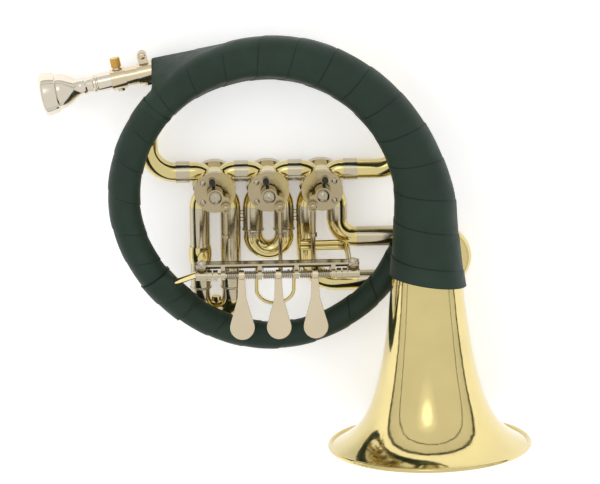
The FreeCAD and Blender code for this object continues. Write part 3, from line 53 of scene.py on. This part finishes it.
BRASS = (0.71, 0.585, 0.25)
TINT_SCALE = 38.0
WEAR_SCALE = 260.0
RIPPLE_SCALE = 90.0
RIPPLE_DEPTH = 0.002
GLOSSIEST = 0.8
DULLEST = 1.35
LACQUER_ROUGHNESS = 0.06
LACQUER_IOR = 1.48


def grey(value):
    return (value, value, value)


def tree_of(name):
    material = bpy.data.materials.new(name)
    material.use_nodes = True
    tree = material.node_tree
    return material, tree, tree.nodes["Principled BSDF"]


def link(tree, source, output, target, socket):
    tree.links.new(source.outputs[output], target.inputs[socket])


def noise_of(tree, scale, detail=3.0):
    """Noise over the piece's own coordinates, so that it moves with the piece."""
    place = tree.nodes.new("ShaderNodeTexCoord")
    noise = tree.nodes.new("ShaderNodeTexNoise")
    noise.inputs["Scale"].default_value = scale
    noise.inputs["Detail"].default_value = detail
    link(tree, place, "Object", noise, "Vector")
    return noise


def ramp_of(tree, source, output, stops):
    ramp = tree.nodes.new("ShaderNodeValToRGB")
    while len(ramp.color_ramp.elements) < len(stops):
        ramp.color_ramp.elements.new(0.5)
    for element, (place, colour) in zip(ramp.color_ramp.elements, stops):
        element.position = place
        element.color = (*colour, 1.0)
    link(tree, source, output, ramp, "Fac")
    return ramp


def bump_of(tree, target, source, output, strength, distance):
    bump = tree.nodes.new("ShaderNodeBump")
    bump.inputs["Strength"].default_value = strength
    bump.inputs["Distance"].default_value = distance
    link(tree, source, output, bump, "Height")
    link(tree, bump, "Normal", target, "Normal")
    return bump


def polished(name, colour, roughness, spread, lacquer=0.0, ripple=0.02):
    """Polished metal: a faint drift of tint and gloss, and the ripple that hand polishing leaves."""
    material, tree, shader = tree_of(name)
    shader.inputs["Metallic"].default_value = 1.0
    low = tuple(c * (1.0 - spread) for c in colour)
    high = tuple(min(1.0, c * (1.0 + spread)) for c in colour)
    shade = ramp_of(tree, noise_of(tree, TINT_SCALE), "Fac", [(0.3, low), (0.7, high)])
    link(tree, shade, "Color", shader, "Base Color")
    gloss = ramp_of(tree, noise_of(tree, WEAR_SCALE, detail=5.0), "Fac",
                    [(0.35, grey(roughness * GLOSSIEST)), (0.75, grey(roughness * DULLEST))])
    link(tree, gloss, "Color", shader, "Roughness")
    wave = noise_of(tree, RIPPLE_SCALE, detail=2.0)
    bump_of(tree, shader, wave, "Fac", ripple, RIPPLE_DEPTH)
    shader.inputs["Coat Weight"].default_value = lacquer
    shader.inputs["Coat Roughness"].default_value = LACQUER_ROUGHNESS
    shader.inputs["Coat IOR"].default_value = LACQUER_IOR
    return material


def dress(material, *names):
    for name in names:
        mesh = nodes[name].data
        mesh.materials.clear()
        mesh.materials.append(material)


lacquered_brass = polished("lacquered_brass", BRASS, roughness=0.09, spread=0.05, lacquer=0.6)
dress(lacquered_brass, "bell", "bell_rim_wire")


# The coil's tubes.
# Drawn brass tube, bent round: a thin first turn, the turn that widens towards the bell, the leadpipe
# from the receiver and the short bend into the valves. Most of them are under the leather.

dress(lacquered_brass, "ring_tube", "first_turn_tube", "leadpipe", "gooseneck")


# The leather on the single tube.
# One long strip of dark green leather is wound over the coil from behind the bell, along the bottom
# and up the left, each turn lapping the one before it. It replaces the plain jacket of the frame.

MM = 0.001
LEATHER = (0.014, 0.031, 0.0195)
LEATHER_WALL = 1.3 * MM
LAP = 0.52 * MM
WRAP = 13.4  # degrees of the coil that one turn of the strip takes
OVERLAP = 1.12  # the strip's width, in turns
WANDER = 0.06  # how far a turn strays from its place, in turns
SLACKS = 3  # places in each turn where the strip may lie looser or tighter
LOOSEST = 0.3
TIGHTEST = 0.85
PUFF = 0.12 * MM
EDGE_PLACES = [0.0, 0.0, 0.012, 0.04]  # across the strip, from its cut edge
EDGE_HEIGHTS = [0.0, 0.6, 0.93, 1.0]
EDGE = 0.04
UNDERLAP = 0.92  # the share of its height that the strip loses on its way under the next turn
LIP_DEPTHS = [LAP, LAP * 0.4, -LEATHER_WALL * 0.3, -LEATHER_WALL * 0.9]
SLIVER = 0.00001

COIL_X = 2.5 * MM
MEETING = -45.0  # where the thin first turn passes into the widening one
FIRST_ANGLES = [161.5, 158.5, 150.0, 135.0, 115.0, 90.0, 60.0, 30.0, 0.0, -25.0, MEETING]
FIRST_RADII = [80.4, 82.2, 84.6, 84.0, 80.9, 79.0, 78.2, 80.5, 85.0, 87.6, 89.8]
FIRST_HEIGHTS = [12.5, 12.6, 16.5, 24.0, 29.5, 31.0, 30.5, 29.5, 28.5, 28.4, 28.5]
LINE_TUBE = 6.2 * MM
MAIN_ANGLES = [MEETING, -90.0, -135.0, -180.0, -225.0, -270.0, -315.0, -340.0, -360.0]
MAIN_RADII = [89.8, 91.9, 89.7, 91.3, 90.3, 89.2, 87.7, 88.9, 92.1]
MAIN_HEIGHTS = [28.5, 30.6, 33.8, 38.0, 42.0, 46.0, 50.0, 52.2, 54.0]
MAIN_TUBES = [6.2, 6.9, 7.7, 8.2, 9.1, 11.1, 13.2, 14.8, 17.2]


def smooth(angles, values, at):
    """A smooth curve through values at falling angles, as the bent tube has."""
    x = -np.array(angles)
    y = np.array(values) * MM
    slope = np.empty(len(y))
    slope[1:-1] = (y[2:] - y[:-2]) / (x[2:] - x[:-2])
    slope[0] = (y[1] - y[0]) / (x[1] - x[0])
    slope[-1] = (y[-1] - y[-2]) / (x[-1] - x[-2])
    at = -np.asarray(at, float)
    k = np.clip(np.searchsorted(x, at) - 1, 0, len(x) - 2)
    width = x[k + 1] - x[k]
    t = (at - x[k]) / width
    return ((2 * t ** 3 - 3 * t ** 2 + 1) * y[k] + (t ** 3 - 2 * t ** 2 + t) * width * slope[k]
            + (3 * t ** 2 - 2 * t ** 3) * y[k + 1] + (t ** 3 - t ** 2) * width * slope[k + 1])


def on_coil(angle, radius, height):
    a = np.radians(angle)
    return np.stack([COIL_X + radius * np.cos(a), radius * np.sin(a), height + 0 * a], -1)


def first_circle(angle):
    """The thin turn's cross-section: its distance from the coil's centre, its height and its radius."""
    return (smooth(FIRST_ANGLES, FIRST_RADII, angle), smooth(FIRST_ANGLES, FIRST_HEIGHTS, angle),
            LINE_TUBE + 0 * angle)


def main_circle(angle):
    """The same for the widening turn."""
    return (smooth(MAIN_ANGLES, MAIN_RADII, angle), smooth(MAIN_ANGLES, MAIN_HEIGHTS, angle),
            smooth(MAIN_ANGLES, MAIN_TUBES, angle))


def single_turn(angle, phi, rise):
    """The strip's surface round one tube, at an angle of the coil and phi round the tube."""
    point = np.empty(phi.shape + (3,))
    for part, circle in ((angle > MEETING, first_circle), (angle <= MEETING, main_circle)):
        if part.any():
            radius, height, tube = circle(angle[part])
            reach = tube + LEATHER_WALL + rise[part]
            point[part] = on_coil(angle[part], radius + reach * np.cos(phi[part]),
                                  height + reach * np.sin(phi[part]))
    return point


def placed(name, data):
    thing = bpy.data.objects.new(name, data)
    bpy.context.scene.collection.objects.link(thing)
    return thing


def add_lip(points, faces, surface, at, slant, around):
    """The strip's cut end, from its outer face down towards the tube."""
    phi = np.linspace(0.0, 2.0 * math.pi, around, endpoint=False)
    angle = at - slant * np.cos(phi)
    start = len(points)
    for depth in LIP_DEPTHS:
        points.extend(surface(angle, phi, np.full(around, depth)).tolist())
    for ring in range(len(LIP_DEPTHS) - 1):
        for k in range(around):
            a = start + ring * around + k
            b = start + ring * around + (k + 1) % around
            faces.append((a, b, b + around, a + around))


def wound_strip(name, surface, first, last, seed, slant=0.0, capped=False, around=96, across=9):
    """One strip wound from angle first to last: each turn lies on the one before, with a cut edge."""
    rng = np.random.default_rng(seed)
    turns = int(math.ceil((first - last) / WRAP)) + 1
    steps = turns * around
    turn = np.arange(steps + 1) / around
    drift = np.interp(turn, np.arange(turns + 2), rng.uniform(-WANDER, WANDER, turns + 2))
    slack = np.interp(turn * SLACKS, np.arange(turns * SLACKS + 4),
                      rng.uniform(0.0, 1.0, turns * SLACKS + 4))
    phi = -2.0 * math.pi * turn + 1.5 * math.pi
    flat = 1.0 - EDGE
    width = EDGE_PLACES + [EDGE + flat * (k / (across - 1)) for k in range(1, across)]
    count = len(width)
    rows = []
    for k, w in enumerate(width):
        angle = first + WRAP * (1.0 - turn) - WRAP * (w * OVERLAP + drift)
        angle = np.clip(angle, last - slant * np.cos(phi), first)
        lift = EDGE_HEIGHTS[k] if k < len(EDGE_HEIGHTS) else 1.0 - UNDERLAP * (w - EDGE) / flat
        rise = LAP * lift * (TIGHTEST + LOOSEST * slack) + PUFF * np.sin(math.pi * w) * slack
        rows.append(surface(angle, phi, rise))
    points = np.stack(rows, 1).reshape(-1, 3).tolist()
    faces = [(i * count + j, i * count + j + 1, (i + 1) * count + j + 1, (i + 1) * count + j)
             for i in range(steps) for j in range(count - 1)]
    lip_start = len(points)
    add_lip(points, faces, surface, last, slant, around)
    if capped:
        add_lip(points, faces, surface, first, 0.0, around)
        faces.append(tuple(range(len(points) - around, len(points))))
    mesh = bpy.data.meshes.new(name)
    mesh.from_pydata(points, [], faces)
    # The material paints the cut edge darker, partly the leather's own dark edge and partly painted shade
    # in the lap under it, so each corner keeps its place across and along the strip.
    lip = len(points) - lip_start
    across_at = np.concatenate([np.tile(np.array(width), steps + 1), np.full(lip, 0.5)])
    along_at = np.concatenate([np.repeat(turn, count), np.zeros(lip)])
    corners = np.empty(len(mesh.loops), int)
    mesh.loops.foreach_get("vertex_index", corners)
    strip = mesh.uv_layers.new(name="strip")
    strip.data.foreach_set("uv", np.stack([across_at[corners], along_at[corners]], -1).ravel())
    # At both ends the turns are pressed flat against the cut, which leaves slivers to take out.
    trimmed = bmesh.new()
    trimmed.from_mesh(mesh)
    bmesh.ops.dissolve_degenerate(trimmed, dist=SLIVER, edges=trimmed.edges)
    trimmed.to_mesh(mesh)
    trimmed.free()
    for polygon in mesh.polygons:
        polygon.use_smooth = True
    return placed(name, mesh)


def mix_of(tree, kind, first, second):
    """Two colours put together in full: multiplied, or added as light is to light."""
    mix = tree.nodes.new("ShaderNodeMix")
    mix.data_type = "RGBA"
    mix.blend_type = kind
    mix.inputs["Factor"].default_value = 1.0
    link(tree, first, "Color", mix, "A")
    link(tree, second, "Color", mix, "B")
    return mix


def leather(name):
    """Dyed strap leather: fine pebbled grain, stretch creases, a dull wax shine and cut edges painted dark,
    partly their own colour and partly painted shade of the laps.
    """
    material, tree, shader = tree_of(name)
    shade = ramp_of(tree, noise_of(tree, 55.0, detail=4.0), "Fac",
                    [(0.25, tuple(c * 0.82 for c in LEATHER)), (0.55, LEATHER),
                     (0.85, tuple(c * 1.25 for c in LEATHER))])
    strip = tree.nodes.new("ShaderNodeUVMap")
    strip.uv_map = "strip"
    across = tree.nodes.new("ShaderNodeSeparateXYZ")
    link(tree, strip, "UV", across, "Vector")
    # The cut edge is painted darker: the leather's own darker edge together with painted shade in the gap
    # under each lap.
    cut_edge_and_lap_shade = ramp_of(tree, across, "X", [(0.0, grey(0.40)), (0.012, grey(0.5)), (EDGE, grey(1.0))])
    tone_with_lap_shade = mix_of(tree, "MULTIPLY", shade, cut_edge_and_lap_shade)
    link(tree, tone_with_lap_shade, "Result", shader, "Base Color")
    wax = ramp_of(tree, noise_of(tree, 120.0, detail=6.0), "Fac", [(0.3, grey(0.44)), (0.7, grey(0.58))])
    link(tree, wax, "Color", shader, "Roughness")
    shader.inputs["Specular IOR Level"].default_value = 0.28
    place = tree.nodes.new("ShaderNodeTexCoord")
    pebbles = tree.nodes.new("ShaderNodeTexVoronoi")
    pebbles.feature = "DISTANCE_TO_EDGE"
    pebbles.inputs["Scale"].default_value = 1500.0
    link(tree, place, "Object", pebbles, "Vector")
    grain = ramp_of(tree, pebbles, "Distance", [(0.0, grey(0.0)), (0.25, grey(1.0))])
    fine = bump_of(tree, shader, grain, "Color", strength=0.12, distance=0.0002)
    bump_of(tree, fine, noise_of(tree, 210.0), "Fac", strength=0.25, distance=0.0006)
    return material


green_leather = leather("green_leather")


def bind(binding, *replaced):
    binding.data.materials.append(green_leather)
    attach(binding, "horn")
    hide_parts(*replaced)


bind(wound_strip("leather_strip_ring", single_turn, first=-26.0, last=-219.5, seed=5), "leather_ring")


# The left strut.
# A brass rod soldered to the coil's left side, which carries that end of the lever rail. A short
# second strip of the leather lies over the first one and is drawn up round the rod's foot.

dress(lacquered_brass, "left_strut")

STRUT_ANGLE = -139.7
STRUT_SIDE = math.radians(135.0)
TENT = 5.2 * MM
TENT_ALONG = 3.2  # degrees of the coil
TENT_ROUND = 0.38  # radians round the tube
SECOND_LAYER = 1.5 * LAP


def patch_turn(angle, phi, rise):
    """The second strip's surface, which stands up like a tent where the strut goes in."""
    radius, height, tube = main_circle(angle)
    aside = np.angle(np.exp(1j * (phi - STRUT_SIDE)))
    tent = TENT * np.exp(-((angle - STRUT_ANGLE) / TENT_ALONG) ** 2 - (aside / TENT_ROUND) ** 2)
    reach = tube + LEATHER_WALL + SECOND_LAYER + rise + tent
    return on_coil(angle, radius + reach * np.cos(phi), height + reach * np.sin(phi))


bind(wound_strip("leather_strip_patch", patch_turn, first=-127.0, last=-145.0, seed=3), "leather_ring")


# The leather on the bundles and the bell's joint.
# The same strip goes on over the top of the coil, where it takes in three tubes at once and then two,
# and down over the last stretch of the widening tube to its joint with the bell.

RECEIVER_TUBE = 6.4 * MM
LEAD_REACH = 88.5 * MM
LEAD_HEIGHT = 21.0 * MM
LEAD_TANGENT = 101.56  # the angle where the straight leadpipe touches the coil's curve
DIP_FROM = 90.0
DIP_OVER = 67.5
DIP_DEPTH = 8.5 * MM
SPLIT = 62.0  # where the leadpipe leaves the bundle
SPLIT_FADE = 6.0
TAIL_FADE = 9.0
INNER_SHARE = 0.45
LEFT_PART = -0.3
OUTER_PART = 0.05
CUT_X = -70.5 * MM
TAIL_SPAN = 31.0
TAIL_LEAVES = (0.0, -1.0, 0.075)
TAIL_SETTLES = 0.3
BELL_JOINT = Vector((95.5, -50.2, 55.8)) * MM
BELL_AXIS = Vector((-0.0122, 0.9975, -0.0697)).normalized()
BELL_JOINT_TUBE = 21.8 * MM
BUNDLE_START = 143.5
END_SLANT = 2.4
LEANS = 40  # tangents tried to each side of a direction
LEAN_STEP = 2.1
BEYOND = 9.0


def lead_circle(angle):
    past = np.maximum(0.0, angle - LEAD_TANGENT)
    skew = 1.0 / np.cos(np.radians(past))
    dip = np.clip((DIP_FROM - angle) / DIP_OVER, 0, 1)
    height = LEAD_HEIGHT - DIP_DEPTH * (3 * dip ** 2 - 2 * dip ** 3)
    return LEAD_REACH * skew, height, RECEIVER_TUBE * skew


def hull_reach(circles, origin, phi):
    """How far leather drawn tight round a set of tubes lies from an inner point, in direction phi."""
    best = np.full(phi.shape, BEYOND)
    for k in range(-LEANS, LEANS + 1):
        lean = math.radians(k * LEAN_STEP)
        psi = phi + lean
        support = np.max([(u - origin[0]) * np.cos(psi) + (v - origin[1]) * np.sin(psi) + r
                          for u, v, r in circles], 0)
        best = np.minimum(best, support / math.cos(lean))
    return best


def eased(t):
    return t * t * (3 - 2 * t)


def tail_turn(angle, phi, rise):
    """The strip's surface past the coil's end, along the widening tube to the bell."""
    t = -angle / TAIL_SPAN
    start = on_coil(0.0, smooth(MAIN_ANGLES, MAIN_RADII, -360.0), smooth(MAIN_ANGLES, MAIN_HEIGHTS, -360.0))
    end = np.array(BELL_JOINT)
    span = np.linalg.norm(end - start)
    leave = np.array(TAIL_LEAVES)
    arrive = -np.array(BELL_AXIS)
    h = t[:, None]
    centre = ((2 * h ** 3 - 3 * h ** 2 + 1) * start + (h ** 3 - 2 * h ** 2 + h) * span * leave
              + (3 * h ** 2 - 2 * h ** 3) * end + (h ** 3 - h ** 2) * span * arrive)
    along = leave * (1 - h) + arrive * h
    along = along / np.linalg.norm(along, axis=1)[:, None]
    side = np.cross(along, (0.0, 0.0, 1.0))
    side = -side / np.linalg.norm(side, axis=1)[:, None]
    up = np.cross(along, side)
    up = up * np.sign(up[:, 2])[:, None]
    settled = np.clip(h / TAIL_SETTLES, 0, 1)
    up = np.array((0.0, 0.0, 1.0)) * (1 - settled) + up * settled
    side = np.array((1.0, 0.0, 0.0)) * (1 - settled) + side * settled
    tube = MAIN_TUBES[-1] * MM + (BELL_JOINT_TUBE - MAIN_TUBES[-1] * MM) * (t + t * t) / 2
    reach = (tube + LEATHER_WALL + rise)[:, None]
    return centre + side * reach * np.cos(phi)[:, None] + up * reach * np.sin(phi)[:, None]


def bundle_turn(angle, phi, rise):
    """The strip's surface round three tubes, then two, then the widening tube alone."""
    point = np.empty(phi.shape + (3,))
    coil = angle >= 0.0
    a = angle[coil]
    main = main_circle(a - 360.0)
    first = first_circle(a)
    lead = lead_circle(a)
    three = eased(np.clip((a - SPLIT + SPLIT_FADE) / (2 * SPLIT_FADE), 0, 1))
    bundled = eased(np.clip(a / TAIL_FADE, 0, 1))
    # The point that the reaches are measured from moves to the middle of the tube that stays alone.
    share = INNER_SHARE * bundled
    origin = (main[0] * (1 - share) + first[0] * share, main[1] * (1 - share) + first[1] * share)
    wide = hull_reach([main, first, lead], origin, phi[coil])
    slim = hull_reach([main, first], origin, phi[coil])
    du = main[0] - origin[0]
    dv = main[1] - origin[1]
    b = du * np.cos(phi[coil]) + dv * np.sin(phi[coil])
    lone = b + np.sqrt(np.maximum(b * b - du * du - dv * dv + main[2] ** 2, 0))
    cover = LEATHER_WALL + rise[coil]
    # At the receiver's end the leather stops at a plane, past which the leadpipe runs on bare.
    outward = np.cos(phi[coil])
    sine = np.cos(np.radians(a))
    cut = (sine < LEFT_PART) & (outward > OUTER_PART)
    to_edge = (((CUT_X - COIL_X) / np.minimum(sine, LEFT_PART) - origin[0])
               / np.maximum(outward, OUTER_PART))
    wide = np.where(cut, np.minimum(wide + cover, to_edge), wide + cover)
    wide = np.maximum(wide, slim + cover)
    reach = (wide * three + (slim + cover) * (1 - three)) * bundled + (lone + cover) * (1 - bundled)
    point[coil] = on_coil(a, origin[0] + reach * outward, origin[1] + reach * np.sin(phi[coil]))
    point[~coil] = tail_turn(angle[~coil], phi[~coil], rise[~coil])
    return point


bind(wound_strip("leather_strip_bundle", bundle_turn, first=BUNDLE_START, last=-TAIL_SPAN, seed=8,
                 slant=END_SLANT, capped=True, across=20),
     "leather_left_bundle", "leather_right_bundle", "leather_tail")


# The receiver and its tuning sleeve.
# Turned from nickel silver and buffed bright, a warm grey white beside the brass. Each has a clamp
# band, and a slotted screw goes through the receiver's two ears.

nickel_silver = polished("nickel_silver", (0.73, 0.62, 0.435), roughness=0.13, spread=0.03)
dress(nickel_silver, "mouthpiece_receiver", "receiver_screw", "tuning_sleeve")


# The thumb screw that clamps the mouthpiece.
# A knurled brass head of a deeper gold than the tubes, screwed into the tuning sleeve's band.

gold = polished("gold_screw", (0.72, 0.45, 0.12), roughness=0.22, spread=0.06)
dress(gold, "clamp_thumb_screw")


# The mouthpiece.
# Turned from brass bar, with a cup, a throat and a tapered shank, and plated with bright silver.
# Its shank is held in the tuning sleeve.

silver_plate = polished("silver_plate", (0.78, 0.71, 0.59), roughness=0.11, spread=0.02, ripple=0.01)
dress(silver_plate, "mouthpiece")


# The valve casings, with their ferrules and back caps.
# The casings are brass with soldered knuckles. The ferrules over the joints of the line and the
# screwed caps are nickel silver that is handled less, so it has dulled a little.

LEG_NICKEL = (0.57, 0.505, 0.36)
dress(lacquered_brass, "valve_1_casing", "valve_2_casing", "valve_3_casing")
leg_nickel = polished("leg_nickel", LEG_NICKEL, roughness=0.15, spread=0.05)
dress(leg_nickel, "line_ferrules", "valve_back_caps")


# Rotors and bearings.
# Turned brass left bare, with fine tool marks. The front discs show as rings round the stop plates.

turned_brass = polished("raw_brass", (0.52, 0.42, 0.20), roughness=0.24, spread=0.07)
dress(turned_brass, "rotor_1", "rotor_2", "rotor_3", "valve_bearings")


# The stop plates and their screws.
# Nickel silver with a thin yellow tarnish, held on each valve's front by slotted steel screws.

plate_nickel = polished("plate_nickel", (0.47, 0.39, 0.235), roughness=0.17, spread=0.06)
dress(plate_nickel, "stop_plates")
steel = polished("steel", (0.50, 0.44, 0.33), roughness=0.2, spread=0.05)
dress(steel, "stop_plate_screws")


# The stop corks.
# Short rods of black rubber pressed into cups, which the crank's finger meets at each end of its turn.

material, tree, shader = tree_of("stop_rubber")
dust = noise_of(tree, 400.0, detail=4.0)
shade = ramp_of(tree, dust, "Fac", [(0.3, grey(0.012)), (0.8, (0.035, 0.034, 0.032))])
link(tree, shade, "Color", shader, "Base Color")
shader.inputs["Roughness"].default_value = 0.7
bump_of(tree, shader, dust, "Fac", strength=0.2, distance=0.0003)
dress(material, "stop_corks")


# The cranks and pull rods.
# Cut from the same tarnished sheet as the stop plates. A steel screw holds each crank on its rotor,
# and a pull rod joins its pin to the rear arm of the lever.

dress(plate_nickel, "crank_1", "crank_2", "crank_3", "link_rod_1", "link_rod_2", "link_rod_3")
dress(steel, "crank_screw_1", "crank_screw_2", "crank_screw_3")


# The lever rail and its screws.
# A channel of nickel silver sheet, bright on its flange and lugs. Its floor, behind the springs,
# is painted dark brown: painted shade under the springs and hinge rod.

# Painted shade: the rail's floor, under the springs and hinge rod, is coloured dark brown, fading back to
# the nickel just above it.
RAIL_FLOOR = 0.0621
SHADE_FULL_TO = 0.0002
SHADE_GONE_FROM = 0.0007
RAIL_FLOOR_SHADE = (0.085, 0.066, 0.036, 1.0)
rail_nickel = polished("rail_nickel", LEG_NICKEL, roughness=0.16, spread=0.05)
tree = rail_nickel.node_tree
shader = tree.nodes["Principled BSDF"]
bright = shader.inputs["Base Color"].links[0].from_socket
place = tree.nodes.new("ShaderNodeTexCoord")
height_of = tree.nodes.new("ShaderNodeSeparateXYZ")
link(tree, place, "Object", height_of, "Vector")
above = tree.nodes.new("ShaderNodeMapRange")
above.inputs["From Min"].default_value = RAIL_FLOOR + SHADE_FULL_TO
above.inputs["From Max"].default_value = RAIL_FLOOR + SHADE_GONE_FROM
link(tree, height_of, "Z", above, "Value")
# Below that height the nickel's colour gives way to the dark brown of the painted shade.
floor_shaded = tree.nodes.new("ShaderNodeMix")
floor_shaded.data_type = "RGBA"
link(tree, above, "Result", floor_shaded, "Factor")
floor_shaded.inputs["A"].default_value = RAIL_FLOOR_SHADE
tree.links.new(bright, floor_shaded.inputs["B"])
link(tree, floor_shaded, "Result", shader, "Base Color")
dress(rail_nickel, "lever_rail")
dress(steel, "rail_screws")


# The finger levers and their hinge rod.
# The levers are cast in nickel silver and buffed, with round touchpieces worn bright. The rod goes
# through the rail's lugs and the levers' barrels.

dress(nickel_silver, "lever_1", "lever_2", "lever_3")
dress(leg_nickel, "hinge_rod")


# The lever springs.
# Hard drawn wire, a pair of coils on the hinge rod for each lever. A coil's near end presses on the
# lever and its far end on the rail, so it winds up as the lever goes down.

spring_wire = polished("spring_steel", (0.32, 0.28, 0.21), roughness=0.28, spread=0.08)
dress(spring_wire, "lever_springs_1", "lever_springs_2", "lever_springs_3")
LEVER_X = [-18.2, 4.2, 26.6]


def winding_spring(number, side):
    """One coil of a lever's pair: the pair's mesh cut down to one side of the lever, the side given by
    side.
    """
    node = "lever_springs_%d" % number
    middle = LEVER_X[number - 1]
    name = "spring_%d_%s" % (number, "right" if side > 0 else "left")
    mesh = nodes[node].data.copy()
    mesh.name = name
    one = bmesh.new()
    one.from_mesh(mesh)
    other_side = [v for v in one.verts if (v.co.x / MM - middle) * side < 0.0]
    bmesh.ops.delete(one, geom=other_side, context="VERTS")
    one.to_mesh(mesh)
    one.free()
    coil = placed(name, mesh)
    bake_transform(coil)
    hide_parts(node)


for number in (1, 2, 3):
    for side in (-1, 1):
        winding_spring(number, side)


# The three valve slides.
# Nickel silver legs drawn to slide in one another, joined by short rods. The bows at their ends, the
# third slide's elbows and the bulged collar on the first slide are lacquered brass.

dress(leg_nickel, "slide_1_outer_legs", "slide_2_outer_legs", "slide_3_outer_legs", "slide_1_inner_legs",
      "slide_2_inner_legs", "slide_3_inner_legs", "leg_braces")
dress(lacquered_brass, "slide_1_bow", "slide_2_bow", "slide_3_bow", "slide_3_elbows", "leg_collar")


# The right bracket and the thumb hook.
# Bent brass rods soldered between the third slide and the rail, and a bent wire behind the rail that
# the thumb goes through.

dress(lacquered_brass, "right_bracket", "thumb_hook")


# The table.
# A large sheet of white paper. It lies a hair below the back caps, so that the two faces never
# coincide, and glows a little, as overexposed paper does.

SHEET = 3.0
SHEET_HEIGHT = -0.0004
sheet_mesh = bpy.data.meshes.new("floor")
sheet_mesh.from_pydata([(-SHEET, -SHEET, SHEET_HEIGHT), (SHEET, -SHEET, SHEET_HEIGHT),
                        (SHEET, SHEET, SHEET_HEIGHT), (-SHEET, SHEET, SHEET_HEIGHT)],
                       [], [(0, 1, 2, 3)])
floor = placed("floor", sheet_mesh)
material, tree, shader = tree_of("white_sheet")
shade = ramp_of(tree, noise_of(tree, 60.0, detail=4.0), "Fac", [(0.2, grey(0.93)), (0.8, grey(0.96))])
link(tree, shade, "Color", shader, "Base Color")
shader.inputs["Roughness"].default_value = 0.9
shader.inputs["Emission Color"].default_value = (1.0, 1.0, 1.0, 1.0)
shader.inputs["Emission Strength"].default_value = 0.30
sheet_mesh.materials.append(material)


# The light.
# Two soft boxes light the sheet and the leather but aren't mirrored. The metal mirrors a pale light
# tent instead, with dark seams between its panels and one soft glow, so that its curves can be read.

AIM = (0.02, -0.03, 0.04)


def soft_box(name, place, width, height, power):
    light = bpy.data.lights.new(name, "AREA")
    light.shape = "RECTANGLE"
    light.size = width
    light.size_y = height
    light.energy = power
    lamp = placed(name, light)
    lamp.location = place
    lamp.rotation_euler = (Vector(AIM) - Vector(place)).to_track_quat("-Z", "Y").to_euler()
    lamp.visible_glossy = False


soft_box("soft_box_left", (-1.5, 0.5, 1.5), width=1.3, height=1.6, power=9.0)
soft_box("soft_box_right", (1.55, 0.3, 1.3), width=1.1, height=1.6, power=6.0)

SEAM = (0.10, 0.095, 0.085)
LOWEST_PANEL = (0.80, 0.80, 0.79)
PANEL = grey(0.88)
GLOW_FROM = Vector((-0.13, 0.53, 0.84)).normalized()
world = bpy.data.worlds.new("studio")
bpy.context.scene.world = world
world.use_nodes = True
tree = world.node_tree
place = tree.nodes.new("ShaderNodeTexCoord")
height_of = tree.nodes.new("ShaderNodeSeparateXYZ")
link(tree, place, "Generated", height_of, "Vector")
panels = ramp_of(tree, height_of, "Z", [(0.0, SEAM), (0.035, SEAM), (0.075, LOWEST_PANEL), (0.34, PANEL),
                                        (0.348, SEAM), (0.370, SEAM), (0.378, PANEL), (1.0, PANEL)])
glow_side = tree.nodes.new("ShaderNodeVectorMath")
glow_side.operation = "DOT_PRODUCT"
link(tree, place, "Generated", glow_side, 0)
glow_side.inputs[1].default_value = GLOW_FROM
glow = ramp_of(tree, glow_side, "Value", [(0.94, grey(0.0)), (0.98, grey(0.2)), (0.998, grey(1.1))])
tent_light = mix_of(tree, "ADD", panels, glow)
link(tree, tent_light, "Result", tree.nodes["Background"], "Color")


# The camera.
# It looks down from far away, tilted a little towards the coil's top and turned a trifle, as the
# photograph does. Its lens gives 1.63 of the photograph's pixels to the millimetre at the valves.

CAMERA_FAR = 2.4
TARGET = Vector((18.45, -28.8, 42.0)) * MM
TILT = math.radians(16.5)
AZIMUTH = math.radians(2.0)
ROLL = math.radians(0.55)
PHOTO_WIDTH = 600.0
PIXELS_PER_METRE = 1630.0
toward = Vector((-math.tan(AZIMUTH), math.tan(TILT), 1.0)).normalized()
up = (Vector((0, 1, 0)) - toward * toward.y).normalized()
right = up.cross(toward)
rolled_right = right * math.cos(ROLL) - up * math.sin(ROLL)
rolled_up = right * math.sin(ROLL) + up * math.cos(ROLL)
camera_data = bpy.data.cameras.new("camera")
camera_data.sensor_width = 36.0
camera_data.lens = camera_data.sensor_width * CAMERA_FAR * PIXELS_PER_METRE / PHOTO_WIDTH
camera_data.clip_end = 20.0
camera = placed("camera", camera_data)
turn = Matrix((rolled_right, rolled_up, toward)).transposed().to_4x4()
camera.matrix_world = Matrix.Translation(TARGET + toward * CAMERA_FAR) @ turn
bpy.context.scene.camera = camera
bpy.context.scene.view_settings.view_transform = "Standard"
